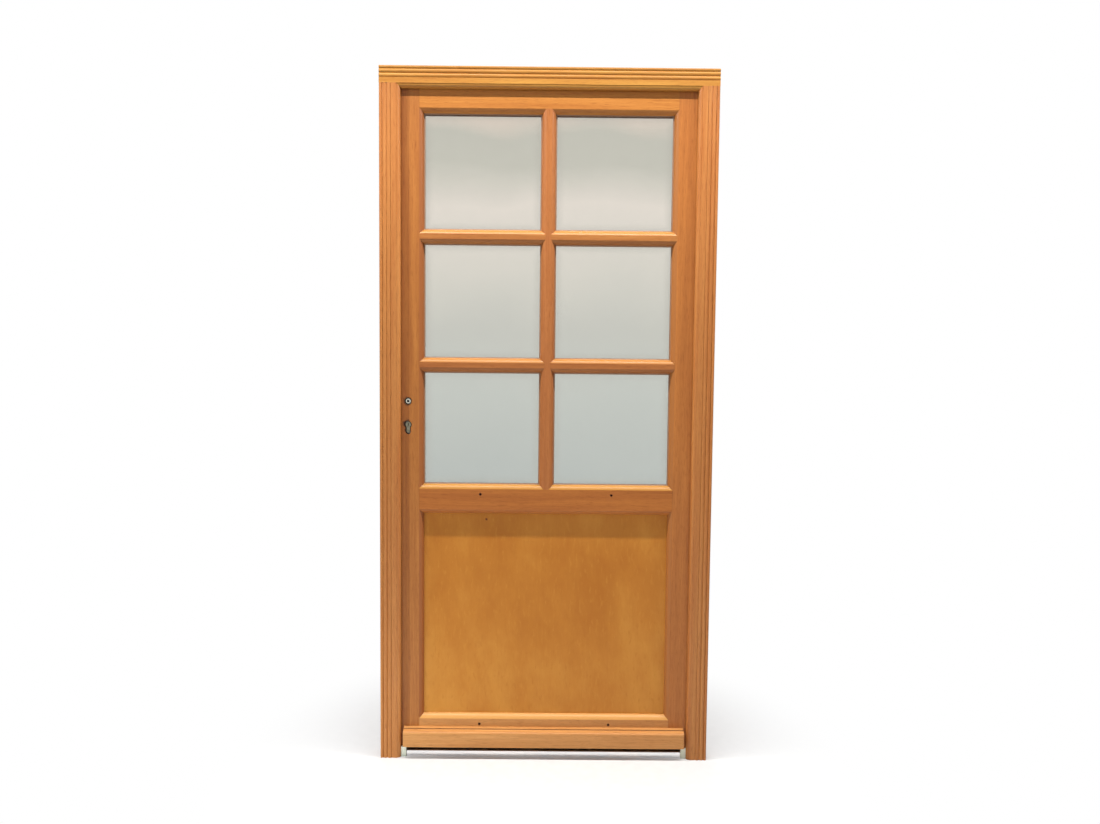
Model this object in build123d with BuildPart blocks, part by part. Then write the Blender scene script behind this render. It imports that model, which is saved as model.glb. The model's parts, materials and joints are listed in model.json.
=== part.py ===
"""Panelled front door hung in its frame: six glazed panes over one flat panel.

Millimetres, +Z up. X runs to the right seen from outside, +Y runs into the
building, and the origin is on the floor under the middle of the frame.
"""

import os
from math import cos, radians, sin

from build123d import *

os.makedirs("parts", exist_ok=True)

# Frame: one moulded section for the head and both jambs
frame_width = 1010.0
frame_height = 2100.0
frame_depth = 78.0
section_width = 62.0
edge_reed_width = 9.0
reed_width = 13.0
inner_reed_count = 2
reed_depth = 3.5
band_width = 16.0
band_inset = 1.0
lip_quirk = 1.5
lip_depth = 12.0
nose_depth = 19.0
rebate_overlap = 14.0

# Weather seals
seal_space = 3.0
seal_width = 8.0
seal_edge_inset = 3.0
seal_barb_width = 3.0
seal_barb_depth = 5.0
running_clearance = 0.3

# Threshold and its end blocks
threshold_height = 19.0
threshold_setback = 14.0
threshold_nose_radius = 3.0
threshold_wall = 2.5
threshold_slope_width = 20.0
threshold_slope_drop = 6.0
threshold_web = 8.0
threshold_seal_height = 4.7
end_block_width = 16.0
end_block_height = 31.0
end_block_proud = 3.0
end_block_gap = 1.0
end_block_round = 1.0

# Room between the leaf and its frame
lock_gap = 4.0
hinge_gap = 3.0
head_gap = 3.0
foot_gap = 5.0

# Leaf: stiles, rails and the moulding worked on their outer edges
stile_show = 54.0
top_rail_height = 65.0
mid_rail_height = 64.0
bottom_rail_height = 93.0
panel_height = 632.0
moulding_width = 13.0
moulding_depth = 14.0
moulding_crown_shares = (0.61, 0.40)
glass_inset = 18.0
bar_flat = 16.0
pane_rows = 3
tenon_length = 40.0
tenon_thickness = 14.0
tenon_shoulder = 10.0
stub_length = 12.0
stub_shoulder = 3.0
end_room = 1.0

# Glazing, panel and inside beads
glass_sheet = 4.0
glass_cavity = 16.0
glazing_clearance = 2.0
spacer_inset = 2.0
spacer_width = 7.0
bead_mitre_gap = 0.3
bead_bevel_width = 6.0
bead_bevel_depth = 9.0

# Weatherboard across the foot of the leaf
weatherboard_height = 54.0
weatherboard_lift = 15.0
weatherboard_projection = 30.0
weatherboard_end_gap = 8.5
weatherboard_strip = 12.0
weatherboard_strip_drop = 2.0
weatherboard_quirk = 1.2
weatherboard_top_drop = 3.0
weatherboard_nose_radius = 7.0
weatherboard_end_chamfer = 2.0
drip_setback = 8.0
drip_radius = 2.5
weatherboard_screw_count = 3
weatherboard_screw_edge = 74.5
weatherboard_screw_bite = 20.0
weatherboard_screw_bore_depth = 24.0
weatherboard_screw_bore_radius = 5.5

# Screws and old screw holes
screw_head_radius = 4.2
screw_head_depth = 2.6
screw_shank_radius = 2.2
screw_recess_length = 4.4
screw_recess_width = 1.0
screw_recess_depth = 1.4
screw_clearance = 0.1
plate_screw_length = 30.0
corner_screw_length = 100.0
corner_screw_edge = 24.0
corner_screw_pitch = 30.0
old_hole_radius = 2.5
old_hole_depth = 25.0
old_hole_spacing = 402.0
old_hole_drop = 16.0

# Wall fixings through the jambs
fixing_radius = 4.0
fixing_head_radius = 7.5
fixing_head_depth = 6.0
fixing_setback = 52.0
fixing_rise = 320.0
fixing_drop = 380.0

# Mortise lock
spindle_height = 1107.0
lock_centres = 72.0
backset = 30.5
case_depth = 50.0
case_thickness = 16.0
case_wall = 1.5
case_above = 44.0
case_below = 38.0
mortise_clearance = 0.3
forend_width = 20.0
forend_thickness = 3.0
forend_above = 80.0
forend_below = 76.0
forend_screw_edge = 11.0
follower_radius = 8.5
follower_recess = 5.0
follower_square = 8.0
follower_arm_reach = 20.0
follower_arm_width = 4.5
follower_arm_thickness = 6.0
follower_arm_root_share = 0.94
follower_lean = 17.5
spindle_hole_radius = 11.0
latch_height = 20.0
latch_thickness = 12.0
latch_rise = 22.0
latch_travel = 11.0
latch_tail = 14.0
latch_tip = 1.5
latch_notch_width = 9.8
latch_notch_height = 9.5
deadbolt_height = 30.0
deadbolt_thickness = 10.0
deadbolt_rise = 26.0
deadbolt_travel = 20.0
deadbolt_tail = 20.3
deadbolt_notch_width = 13.6
deadbolt_notch_height = 7.0
bolt_setback = 0.3

# Profile cylinder
cylinder_radius = 8.5
cylinder_foot_width = 10.0
cylinder_overall = 33.0
cylinder_half_length = 27.0
cylinder_recess = 5.0
cylinder_slot = 11.0
cylinder_hole_radius = 11.2
cylinder_hole_foot_width = 15.6
cylinder_hole_overall = 41.0
plug_radius = 6.4
keyway_width = 2.2
keyway_height = 8.0
keyway_depth = 16.0
cam_width = 10.0
cam_reach = 16.0
cam_tip_width = 7.0
cam_lean = 40.0
cam_clearance = 0.05
cylinder_screw_drop = 16.5
cylinder_screw_radius = 2.4

# Strike plate in the lock-side jamb
strike_width = 24.0
strike_thickness = 2.5
strike_above = 50.0
strike_below = 36.0
strike_slack = 1.5
strike_screw_edge = 10.0
strike_pocket_slack = 4.0

# Drill-in hinges on the inside
hinge_rise = 226.0
hinge_drop = 199.0
hinge_standoff = 8.0
hinge_barrel_radius = 7.0
hinge_barrel_height = 38.0
hinge_barrel_gap = 0.5
hinge_barrel_floor = 5.5
hinge_crown = 2.0
hinge_pin_radius = 3.5
hinge_pin_reach = 28.0
hinge_pin_clearance = 0.05
hinge_stem_radius = 4.0
hinge_stem_length = 40.0
hinge_stem_angle = 30.0

# How far cutting tools run past the surfaces they cut
overrun = 2.0

# Places worked out from the sizes above
frame_front = -frame_depth / 2
frame_back = frame_depth / 2
band_start = edge_reed_width + inner_reed_count * reed_width
band_end = band_start + band_width
rebate_line = section_width - rebate_overlap
opening_half = frame_width / 2 - section_width
rebate_half = frame_width / 2 - rebate_line
opening_top = frame_height - section_width
rebate_top = frame_height - rebate_line
butt_height = frame_height - band_end
nose_back = frame_front + nose_depth
seal_outer = section_width - seal_edge_inset - seal_width
seal_inner = section_width - seal_edge_inset
seal_height = seal_space - running_clearance
barb_outer = (seal_outer + seal_inner - seal_barb_width) / 2
barb_inner = barb_outer + seal_barb_width

leaf_front = nose_back + seal_space
leaf_back = frame_back
leaf_thickness = leaf_back - leaf_front
leaf_left = -rebate_half + lock_gap
leaf_right = rebate_half - hinge_gap
leaf_bottom = threshold_height + foot_gap
leaf_top = rebate_top - head_gap
leaf_height = leaf_top - leaf_bottom
flat_half = opening_half - stile_show
sight_half = flat_half - moulding_width
bar_half = bar_flat / 2 + moulding_width
bottom_flat = leaf_bottom + bottom_rail_height
panel_bottom = bottom_flat + moulding_width
panel_top = panel_bottom + panel_height
mid_low = panel_top + moulding_width
mid_high = mid_low + mid_rail_height
glass_bottom = mid_high + moulding_width
top_flat = leaf_top - top_rail_height
glass_top = top_flat - moulding_width
bar_count = pane_rows - 1
pane_width = sight_half - bar_half
pane_height = (glass_top - glass_bottom - bar_count * 2 * bar_half) / pane_rows
pane_pitch = pane_height + 2 * bar_half
pane_centre_x = bar_half + pane_width / 2
glass_front = leaf_front + glass_inset
glass_unit = 2 * glass_sheet + glass_cavity
bead_front = glass_front + glass_unit
rebate_grip = moulding_width - glazing_clearance
tenon_y = (glass_front + leaf_back) / 2

cylinder_height = spindle_height - lock_centres
lock_x = leaf_left + backset
lock_y = leaf_front + cylinder_recess + cylinder_half_length
case_left = leaf_left + forend_thickness
case_top = spindle_height + case_above
case_bottom = cylinder_height - case_below
forend_top = spindle_height + forend_above
forend_bottom = cylinder_height - forend_below
latch_z = spindle_height + latch_rise
deadbolt_z = cylinder_height + deadbolt_rise
strike_top = latch_z + strike_above
strike_bottom = deadbolt_z - deadbolt_height / 2 - strike_below
hinge_x = (rebate_half + leaf_right) / 2
hinge_y = leaf_back + hinge_standoff
hinge_low = leaf_bottom + hinge_rise
hinge_top = leaf_top - hinge_drop
hinge_heights = (hinge_low, (hinge_low + hinge_top) / 2, hinge_top)
weatherboard_bottom = leaf_bottom + weatherboard_lift
weatherboard_half = opening_half - weatherboard_end_gap


def facade(y):
    """Upright plane at depth y, seen from outside; extrude it by a minus to go inwards."""
    return Plane.XZ.offset(-y)


# Head and jambs: reeds, a flat band and a rounded lip in front, a rebate for the leaf behind
def frame_section():
    """Outline of a frame member: x from its outer edge, y from its front."""
    with BuildLine() as outline:
        Line((0, frame_depth), (0, reed_depth))
        valley = 0
        for width in (edge_reed_width,) + inner_reed_count * (reed_width,):
            ThreePointArc((valley, reed_depth), (valley + width / 2, 0), (valley + width, reed_depth))
            valley += width
        Polyline(
            (band_start, reed_depth),
            (band_start, band_inset),
            (band_end, band_inset),
            (band_end, band_inset + lip_quirk),
        )
        TangentArc((band_end, band_inset + lip_quirk), (section_width, lip_depth), tangent=(1, 0))
        Polyline(
            (section_width, lip_depth),
            (section_width, nose_depth),
            (barb_inner, nose_depth),
            (barb_inner, nose_depth - seal_barb_depth),
            (barb_outer, nose_depth - seal_barb_depth),
            (barb_outer, nose_depth),
            (rebate_line, nose_depth),
            (rebate_line, frame_depth),
            (0, frame_depth),
        )
    make_face(outline.edges())


def corner_cut(side, far):
    """Cut the corner joint: a butt under the flat band and a mitre across the lip."""
    outer = frame_width / 2 + overrun
    with BuildSketch(facade(frame_front - overrun)) as joint:
        Polygon(
            (side * outer, butt_height),
            (side * (frame_width / 2 - band_end), butt_height),
            (side * opening_half, opening_top),
            (side * opening_half, far),
            (side * outer, far),
            align=None,
        )
    extrude(joint.sketch, amount=-(nose_depth + overrun), mode=Mode.SUBTRACT)


def screw_form(head_radius, shank_radius, length, mode=Mode.ADD):
    """Countersunk screw with the top of its head at the local origin, pointing down."""
    top = (Align.CENTER, Align.CENTER, Align.MAX)
    Cone(shank_radius, head_radius, screw_head_depth, align=top, mode=mode)
    Cylinder(shank_radius, length, align=top, mode=mode)


def screw_recess():
    """Cross recess in a screw's head."""
    top = (Align.CENTER, Align.CENTER, Align.MAX)
    Box(screw_recess_length, screw_recess_width, screw_recess_depth, align=top, mode=Mode.SUBTRACT)
    Box(screw_recess_width, screw_recess_length, screw_recess_depth, align=top, mode=Mode.SUBTRACT)


def screw_hole(length, shank_radius=screw_shank_radius):
    """Countersunk hole that takes a screw flush."""
    screw_form(
        screw_head_radius + screw_clearance,
        shank_radius + screw_clearance,
        length + end_room,
        mode=Mode.SUBTRACT,
    )


corner_screw_x = frame_width / 2 - corner_screw_edge
corner_screws = [
    (side * corner_screw_x, across * corner_screw_pitch / 2, frame_height)
    for side in (-1, 1)
    for across in (-1, 1)
]


def jamb_cuts(side):
    """Cut what both jambs share: head seat, corner screws and wall fixings."""
    corner_cut(side, rebate_top + overrun)
    with Locations(*[place for place in corner_screws if place[0] * side > 0]):
        screw_hole(corner_screw_length)
    fixings = [(frame_front + fixing_setback, z) for z in (fixing_rise, frame_height - fixing_drop)]
    with BuildSketch(Plane.YZ) as bores:
        with Locations(*fixings):
            Circle(fixing_radius)
    extrude(bores.sketch, amount=side * (frame_width / 2 + overrun), mode=Mode.SUBTRACT)
    with BuildSketch(Plane.YZ.offset(side * (rebate_half - overrun))) as head_seats:
        with Locations(*fixings):
            Circle(fixing_head_radius)
    extrude(head_seats.sketch, amount=side * (fixing_head_depth + overrun), mode=Mode.SUBTRACT)


def hinge_stem(height, side, radius, length, mode=Mode.ADD):
    """Stem drilled at a slant from a hinge's axis into the jamb or the leaf."""
    slant = (side * cos(radians(hinge_stem_angle)), -sin(radians(hinge_stem_angle)), 0)
    with BuildSketch(Plane(origin=(hinge_x, hinge_y, height), z_dir=slant)) as stem:
        Circle(radius)
    extrude(stem.sketch, amount=length, mode=mode)


with BuildPart() as frame_head:
    with BuildSketch(
        Plane(origin=(-frame_width / 2, frame_front, frame_height), x_dir=(0, 0, -1), z_dir=(1, 0, 0))
    ):
        frame_section()
    extrude(amount=frame_width)
    for side in (-1, 1):
        corner_cut(side, opening_top - overrun)
    with Locations(*corner_screws):
        screw_hole(corner_screw_length)
frame_head.part.label = "frame_head"
export_step(frame_head.part, "parts/frame_head.step")

with BuildPart() as frame_jamb_lock:
    with BuildSketch(
        Plane(origin=(-frame_width / 2, frame_front, 0), x_dir=(1, 0, 0), z_dir=(0, 0, 1))
    ):
        frame_section()
    extrude(amount=rebate_top)
    jamb_cuts(-1)
    # Strike plate's seat, its screws, and the pockets that take the latch and the deadbolt
    strike_middle = (strike_top + strike_bottom) / 2
    with BuildSketch(Plane.YZ.offset(-rebate_half + overrun)):
        with Locations((lock_y, strike_middle)):
            SlotOverall(strike_top - strike_bottom, strike_width, rotation=90)
    extrude(amount=-(strike_thickness + overrun), mode=Mode.SUBTRACT)
    with BuildSketch(Plane.YZ.offset(-rebate_half)):
        with Locations((lock_y, latch_z)):
            Rectangle(latch_thickness + 2 * strike_slack, latch_height + 2 * strike_slack)
    extrude(amount=-(latch_travel + strike_pocket_slack), mode=Mode.SUBTRACT)
    with BuildSketch(Plane.YZ.offset(-rebate_half)):
        with Locations((lock_y, deadbolt_z)):
            Rectangle(deadbolt_thickness + 2 * strike_slack, deadbolt_height + 2 * strike_slack)
    extrude(amount=-(deadbolt_travel + strike_pocket_slack), mode=Mode.SUBTRACT)
    strike_screws_z = (strike_top - strike_screw_edge, strike_bottom + strike_screw_edge)
    strike_screw_places = [Location((-rebate_half, lock_y, z), (0, 90, 0)) for z in strike_screws_z]
    with Locations(*strike_screw_places):
        screw_hole(plate_screw_length)
frame_jamb_lock.part.label = "frame_jamb_lock"
export_step(frame_jamb_lock.part, "parts/frame_jamb_lock.step")

with BuildPart() as frame_jamb_hinge:
    with BuildSketch(
        Plane(origin=(frame_width / 2, frame_front, rebate_top), x_dir=(-1, 0, 0), z_dir=(0, 0, -1))
    ):
        frame_section()
    extrude(amount=rebate_top)
    jamb_cuts(1)
    for height in hinge_heights:
        hinge_stem(
            height - hinge_barrel_height / 2,
            1,
            hinge_stem_radius + screw_clearance,
            hinge_stem_length + end_room,
            mode=Mode.SUBTRACT,
        )
frame_jamb_hinge.part.label = "frame_jamb_hinge"
export_step(frame_jamb_hinge.part, "parts/frame_jamb_hinge.step")

# Long screws that pull the head down on the jambs
with BuildPart() as frame_corner_screws:
    with Locations(*corner_screws):
        screw_form(screw_head_radius, screw_shank_radius, corner_screw_length)
        screw_recess()
frame_corner_screws.part.label = "frame_corner_screws"
export_step(frame_corner_screws.part, "parts/frame_corner_screws.step")

# Threshold: hollow aluminium section notched round the jambs' noses
threshold_front = frame_front + threshold_setback
threshold_seal_y = leaf_front + glass_inset
with BuildPart() as threshold:
    with BuildSketch(Plane.YZ.offset(-rebate_half)):
        slope_start = frame_back - threshold_slope_width
        back_height = threshold_height - threshold_slope_drop
        nose = threshold_nose_radius
        with BuildLine():
            Line((frame_back, 0), (threshold_front, 0))
            Line((threshold_front, 0), (threshold_front, threshold_height - nose))
            RadiusArc(
                (threshold_front, threshold_height - nose), (threshold_front + nose, threshold_height), nose
            )
            Polyline(
                (threshold_front + nose, threshold_height),
                (slope_start, threshold_height),
                (frame_back, back_height),
                (frame_back, 0),
            )
        make_face()
        # Two chambers, with a web between them that carries the seal
        chamber_top = threshold_height - threshold_wall
        with BuildLine():
            Polyline(
                (threshold_front + threshold_wall, threshold_wall),
                (threshold_seal_y - threshold_web / 2, threshold_wall),
                (threshold_seal_y - threshold_web / 2, chamber_top),
                (threshold_front + threshold_wall, chamber_top),
                close=True,
            )
        make_face(mode=Mode.SUBTRACT)
        with BuildLine():
            Polyline(
                (threshold_seal_y + threshold_web / 2, threshold_wall),
                (frame_back - threshold_wall, threshold_wall),
                (frame_back - threshold_wall, back_height - threshold_wall),
                (slope_start, chamber_top),
                (threshold_seal_y + threshold_web / 2, chamber_top),
                close=True,
            )
        make_face(mode=Mode.SUBTRACT)
        with Locations((threshold_seal_y, threshold_height - seal_barb_depth)):
            Rectangle(
                seal_barb_width,
                seal_barb_depth,
                align=(Align.CENTER, Align.MIN),
                mode=Mode.SUBTRACT,
            )
    extrude(amount=2 * rebate_half)
    notch_half = opening_half - end_block_width - end_block_gap
    for side in (-1, 1):
        with BuildSketch(Plane.XY):
            with Locations((side * (notch_half + rebate_half) / 2, nose_back)):
                Rectangle(rebate_half - notch_half, nose_depth, align=(Align.CENTER, Align.MAX))
        extrude(amount=threshold_height, mode=Mode.SUBTRACT)
threshold.part.label = "threshold"
export_step(threshold.part, "parts/threshold.step")

# End blocks that close the threshold against the jambs
for side, name in ((-1, "threshold_end_block_lock"), (1, "threshold_end_block_hinge")):
    block_front = threshold_front - end_block_proud
    with BuildPart() as end_block:
        with BuildSketch(Plane.XY):
            with Locations((side * (opening_half - end_block_width / 2), (block_front + nose_back) / 2)):
                Rectangle(end_block_width, nose_back - block_front)
        extrude(amount=end_block_height)
        fillet(end_block.faces().sort_by(Axis.Z)[-1].edges().sort_by(Axis.Y)[0], end_block_round)
    end_block.part.label = name
    export_step(end_block.part, f"parts/{name}.step")


# Weather seals: a soft bead with a barb pressed into its groove
def seal_bead(centre, base, height):
    """Outline of the bead; x across it, y out of the groove."""
    near = centre - seal_width / 2
    far = centre + seal_width / 2
    with BuildLine() as outline:
        Line((near, base), (far, base))
        ThreePointArc((far, base), (centre, base + height), (near, base))
    make_face(outline.edges())


def seal_barb(centre, base):
    """Outline of the barb under the bead."""
    with Locations((centre, base)):
        Rectangle(seal_barb_width, seal_barb_depth, align=(Align.CENTER, Align.MAX))


seal_line = (seal_outer + seal_inner) / 2
with BuildPart() as frame_seal:
    for outline, reach in (("bead", seal_outer), ("barb", barb_outer)):
        top = frame_height - reach
        half = frame_width / 2 - reach
        runs = (
            (Plane((-frame_width / 2, frame_front, top), (1, 0, 0), (0, 0, 1)), threshold_height - top),
            (Plane((frame_width / 2, frame_front, top), (-1, 0, 0), (0, 0, -1)), top - threshold_height),
            (Plane((-half, frame_front, frame_height), (0, 0, -1), (1, 0, 0)), 2 * half),
        )
        for plane, run in runs:
            with BuildSketch(plane):
                if outline == "bead":
                    seal_bead(seal_line, nose_depth, seal_height)
                else:
                    seal_barb(seal_line, nose_depth)
            extrude(amount=run)
frame_seal.part.label = "frame_seal"
export_step(frame_seal.part, "parts/frame_seal.step")

with BuildPart() as threshold_seal:
    with BuildSketch(Plane.YZ.offset(-rebate_half)):
        seal_bead(threshold_seal_y, threshold_height, threshold_seal_height)
        seal_barb(threshold_seal_y, threshold_height)
    extrude(amount=2 * rebate_half)
threshold_seal.part.label = "threshold_seal"
export_step(threshold_seal.part, "parts/threshold_seal.step")

# Strike plate, let into the jamb flush
with BuildPart() as strike_plate:
    with BuildSketch(Plane.YZ.offset(-rebate_half)):
        with Locations((lock_y, strike_middle)):
            SlotOverall(strike_top - strike_bottom, strike_width, rotation=90)
        with Locations((lock_y, latch_z)):
            Rectangle(
                latch_thickness + 2 * strike_slack,
                latch_height + 2 * strike_slack,
                mode=Mode.SUBTRACT,
            )
        with Locations((lock_y, deadbolt_z)):
            Rectangle(
                deadbolt_thickness + 2 * strike_slack,
                deadbolt_height + 2 * strike_slack,
                mode=Mode.SUBTRACT,
            )
    extrude(amount=-strike_thickness)
    with Locations(*strike_screw_places):
        screw_hole(plate_screw_length)
strike_plate.part.label = "strike_plate"
export_step(strike_plate.part, "parts/strike_plate.step")

with BuildPart() as strike_screws:
    with Locations(*strike_screw_places):
        screw_form(screw_head_radius, screw_shank_radius, plate_screw_length)
        screw_recess()
strike_screws.part.label = "strike_screws"
export_step(strike_screws.part, "parts/strike_screws.step")


# Leaf members: flat faces with a moulding worked on each glazed or panelled edge
def member_section(low, high, moulded_low, moulded_high):
    """Outline of a leaf member: x across its flat face, y from its front."""
    crown_across = moulding_width * moulding_crown_shares[0]
    crown_deep = moulding_depth * moulding_crown_shares[1]
    with BuildLine() as outline:
        Line((low, 0), (high, 0))
        Line((high, leaf_thickness), (low, leaf_thickness))
        for edge, side, moulded in ((low, -1, moulded_low), (high, 1, moulded_high)):
            sight = edge + side * moulding_width
            if moulded:
                ThreePointArc((edge, 0), (edge + side * crown_across, crown_deep), (sight, moulding_depth))
                Polyline(
                    (sight, moulding_depth),
                    (sight, glass_inset),
                    (edge, glass_inset),
                    (edge, leaf_thickness),
                )
            else:
                Line((edge, 0), (edge, leaf_thickness))
    make_face(outline.edges())


def cross_plane(right_end):
    """Plane for a member that runs along X: x up the leaf, extruded to the left."""
    return Plane(origin=(right_end, leaf_front, 0), x_dir=(0, 0, 1), z_dir=(-1, 0, 0))


rail_bands = {
    "bottom_rail": (leaf_bottom, bottom_flat),
    "mid_rail": (mid_low, mid_high),
    "top_rail": (top_flat, leaf_top),
}


def tenons(low, high, sides, extra, mode=Mode.ADD):
    """Tenons at a rail's ends, or with extra room the mortises that take them."""
    for side in sides:
        with Locations((side * (flat_half - overrun), tenon_y, (low + high) / 2)):
            Box(
                tenon_length + overrun + extra,
                tenon_thickness,
                high - low - 2 * tenon_shoulder,
                align=(Align.MIN if side > 0 else Align.MAX, Align.CENTER, Align.CENTER),
                mode=mode,
            )


def mortises(side):
    """Mortises in one stile for all three rails."""
    for low, high in rail_bands.values():
        tenons(low, high, (side,), end_room, mode=Mode.SUBTRACT)


def stub(height, direction, extra, mode=Mode.ADD):
    """Stub tenon at an end of the upright glazing bar, or its mortise in a rail."""
    with Locations((0, tenon_y, height - direction * overrun)):
        Box(
            bar_flat - 2 * stub_shoulder,
            tenon_thickness,
            stub_length + overrun + extra,
            align=(Align.CENTER, Align.CENTER, Align.MIN if direction > 0 else Align.MAX),
            mode=mode,
        )


def keyhole(radius, foot_width, overall):
    """Round hole over a round-ended foot: the outline of a profile cylinder."""
    Circle(radius)
    foot = overall - radius - foot_width / 2
    Rectangle(foot_width, foot, align=(Align.CENTER, Align.MAX))
    with Locations((0, -foot)):
        Circle(foot_width / 2)


upright_plane = Plane(origin=(0, leaf_front, leaf_bottom), x_dir=(1, 0, 0), z_dir=(0, 0, 1))
spindle_plane = Plane(origin=(lock_x, leaf_front, spindle_height), x_dir=(1, 0, 0), z_dir=(0, -1, 0))
cylinder_plane = Plane(origin=(lock_x, leaf_front, cylinder_height), x_dir=(1, 0, 0), z_dir=(0, -1, 0))
forend_middle = (forend_top + forend_bottom) / 2
forend_screws_z = (forend_top - forend_screw_edge, forend_bottom + forend_screw_edge)
forend_screw_places = [Location((leaf_left, lock_y, z), (0, -90, 0)) for z in forend_screws_z]
cylinder_screw_place = Location((leaf_left, lock_y, cylinder_height - cylinder_screw_drop), (0, -90, 0))


def lock_cuts():
    """Cut the forend's seat, the lock case's mortise, the screws, and the holes seen on both faces."""
    with BuildSketch(Plane.YZ.offset(leaf_left - overrun)) as seat:
        with Locations((lock_y, forend_middle)):
            SlotOverall(forend_top - forend_bottom, forend_width, rotation=90)
    extrude(seat.sketch, amount=forend_thickness + overrun, mode=Mode.SUBTRACT)
    with Locations((leaf_left, lock_y, (case_top + case_bottom) / 2)):
        Box(
            forend_thickness + case_depth + mortise_clearance,
            case_thickness + 2 * mortise_clearance,
            case_top - case_bottom + 2 * mortise_clearance,
            align=(Align.MIN, Align.CENTER, Align.CENTER),
            mode=Mode.SUBTRACT,
        )
    with BuildSketch(spindle_plane) as spindle_hole:
        Circle(spindle_hole_radius)
    extrude(spindle_hole.sketch, amount=-leaf_thickness, mode=Mode.SUBTRACT)
    with BuildSketch(cylinder_plane) as cylinder_hole:
        keyhole(cylinder_hole_radius, cylinder_hole_foot_width, cylinder_hole_overall)
    extrude(cylinder_hole.sketch, amount=-leaf_thickness, mode=Mode.SUBTRACT)
    with Locations(*forend_screw_places):
        screw_hole(plate_screw_length)


with BuildPart() as lock_stile:
    with BuildSketch(upright_plane):
        member_section(leaf_left, -flat_half, False, True)
    extrude(amount=leaf_height)
    mortises(-1)
    lock_cuts()
lock_stile.part.label = "lock_stile"
export_step(lock_stile.part, "parts/lock_stile.step")

with BuildPart() as hinge_stile:
    with BuildSketch(upright_plane):
        member_section(flat_half, leaf_right, True, False)
    extrude(amount=leaf_height)
    mortises(1)
    for height in hinge_heights:
        hinge_stem(
            height + hinge_barrel_gap + hinge_barrel_height / 2,
            -1,
            hinge_stem_radius + screw_clearance,
            hinge_stem_length + end_room,
            mode=Mode.SUBTRACT,
        )
hinge_stile.part.label = "hinge_stile"
export_step(hinge_stile.part, "parts/hinge_stile.step")


def rail(low, high, moulded_low, moulded_high):
    """Rail between the stiles: scribed over their mouldings, tenoned into them, clear of the lock."""
    with BuildSketch(cross_plane(flat_half)) as section:
        member_section(low, high, moulded_low, moulded_high)
    extrude(section.sketch, amount=2 * flat_half)
    add(lock_stile.part, mode=Mode.SUBTRACT)
    add(hinge_stile.part, mode=Mode.SUBTRACT)
    tenons(low, high, (-1, 1), 0)
    lock_cuts()


def old_holes(height):
    """Two old screw holes in the front of a rail."""
    with BuildSketch(facade(leaf_front)) as holes:
        with Locations((0, height - old_hole_drop)):
            with GridLocations(old_hole_spacing, 0, 2, 1):
                Circle(old_hole_radius)
    extrude(holes.sketch, amount=-old_hole_depth, mode=Mode.SUBTRACT)


with BuildPart() as top_rail:
    rail(*rail_bands["top_rail"], True, False)
    stub(top_flat, 1, end_room, mode=Mode.SUBTRACT)
top_rail.part.label = "top_rail"
export_step(top_rail.part, "parts/top_rail.step")

with BuildPart() as mid_rail:
    rail(*rail_bands["mid_rail"], True, True)
    stub(mid_high, -1, end_room, mode=Mode.SUBTRACT)
    old_holes(mid_high)
mid_rail.part.label = "mid_rail"
export_step(mid_rail.part, "parts/mid_rail.step")

# Screws drawn from inside through the bottom rail into the weatherboard
weatherboard_screw_z = weatherboard_bottom + weatherboard_height / 2
weatherboard_screw_seat = leaf_back - weatherboard_screw_bore_depth
weatherboard_screw_length = weatherboard_screw_seat - leaf_front + weatherboard_screw_bite
screw_span = 2 * (weatherboard_half - weatherboard_screw_edge)
screw_pitch = screw_span / (weatherboard_screw_count - 1)
screws_along = [step * screw_pitch - screw_span / 2 for step in range(weatherboard_screw_count)]
weatherboard_screw_places = [
    Location((along, weatherboard_screw_seat, weatherboard_screw_z), (-90, 0, 0)) for along in screws_along
]

with BuildPart() as bottom_rail:
    rail(*rail_bands["bottom_rail"], False, True)
    old_holes(bottom_flat)
    with Locations(*weatherboard_screw_places):
        screw_hole(weatherboard_screw_length)
        Cylinder(
            weatherboard_screw_bore_radius,
            weatherboard_screw_bore_depth + overrun,
            align=(Align.CENTER, Align.CENTER, Align.MIN),
            mode=Mode.SUBTRACT,
        )
bottom_rail.part.label = "bottom_rail"
export_step(bottom_rail.part, "parts/bottom_rail.step")

# Glazing bars: the upright runs through, the cross bars are scribed to it
with BuildPart() as upright_bar:
    with BuildSketch(Plane(origin=(0, leaf_front, mid_high), x_dir=(1, 0, 0), z_dir=(0, 0, 1))):
        member_section(-bar_flat / 2, bar_flat / 2, True, True)
    extrude(amount=top_flat - mid_high)
    add(top_rail.part, mode=Mode.SUBTRACT)
    add(mid_rail.part, mode=Mode.SUBTRACT)
    stub(top_flat, 1, 0)
    stub(mid_high, -1, 0)
upright_bar.part.label = "upright_bar"
export_step(upright_bar.part, "parts/upright_bar.step")

row_names = ("lower", "middle", "upper")
columns = (("left", -1, lock_stile), ("right", 1, hinge_stile))
for index in range(bar_count):
    bar_z = glass_bottom + pane_height + bar_half + index * pane_pitch
    for column, side, stile in columns:
        name = f"cross_bar_{row_names[2 * index]}_{column}"
        right_end = flat_half if side > 0 else -bar_flat / 2
        with BuildPart() as cross_bar:
            with BuildSketch(cross_plane(right_end)):
                member_section(bar_z - bar_flat / 2, bar_z + bar_flat / 2, True, True)
            extrude(amount=flat_half - bar_flat / 2)
            add(upright_bar.part, mode=Mode.SUBTRACT)
            add(stile.part, mode=Mode.SUBTRACT)
        cross_bar.part.label = name
        export_step(cross_bar.part, f"parts/{name}.step")


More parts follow.
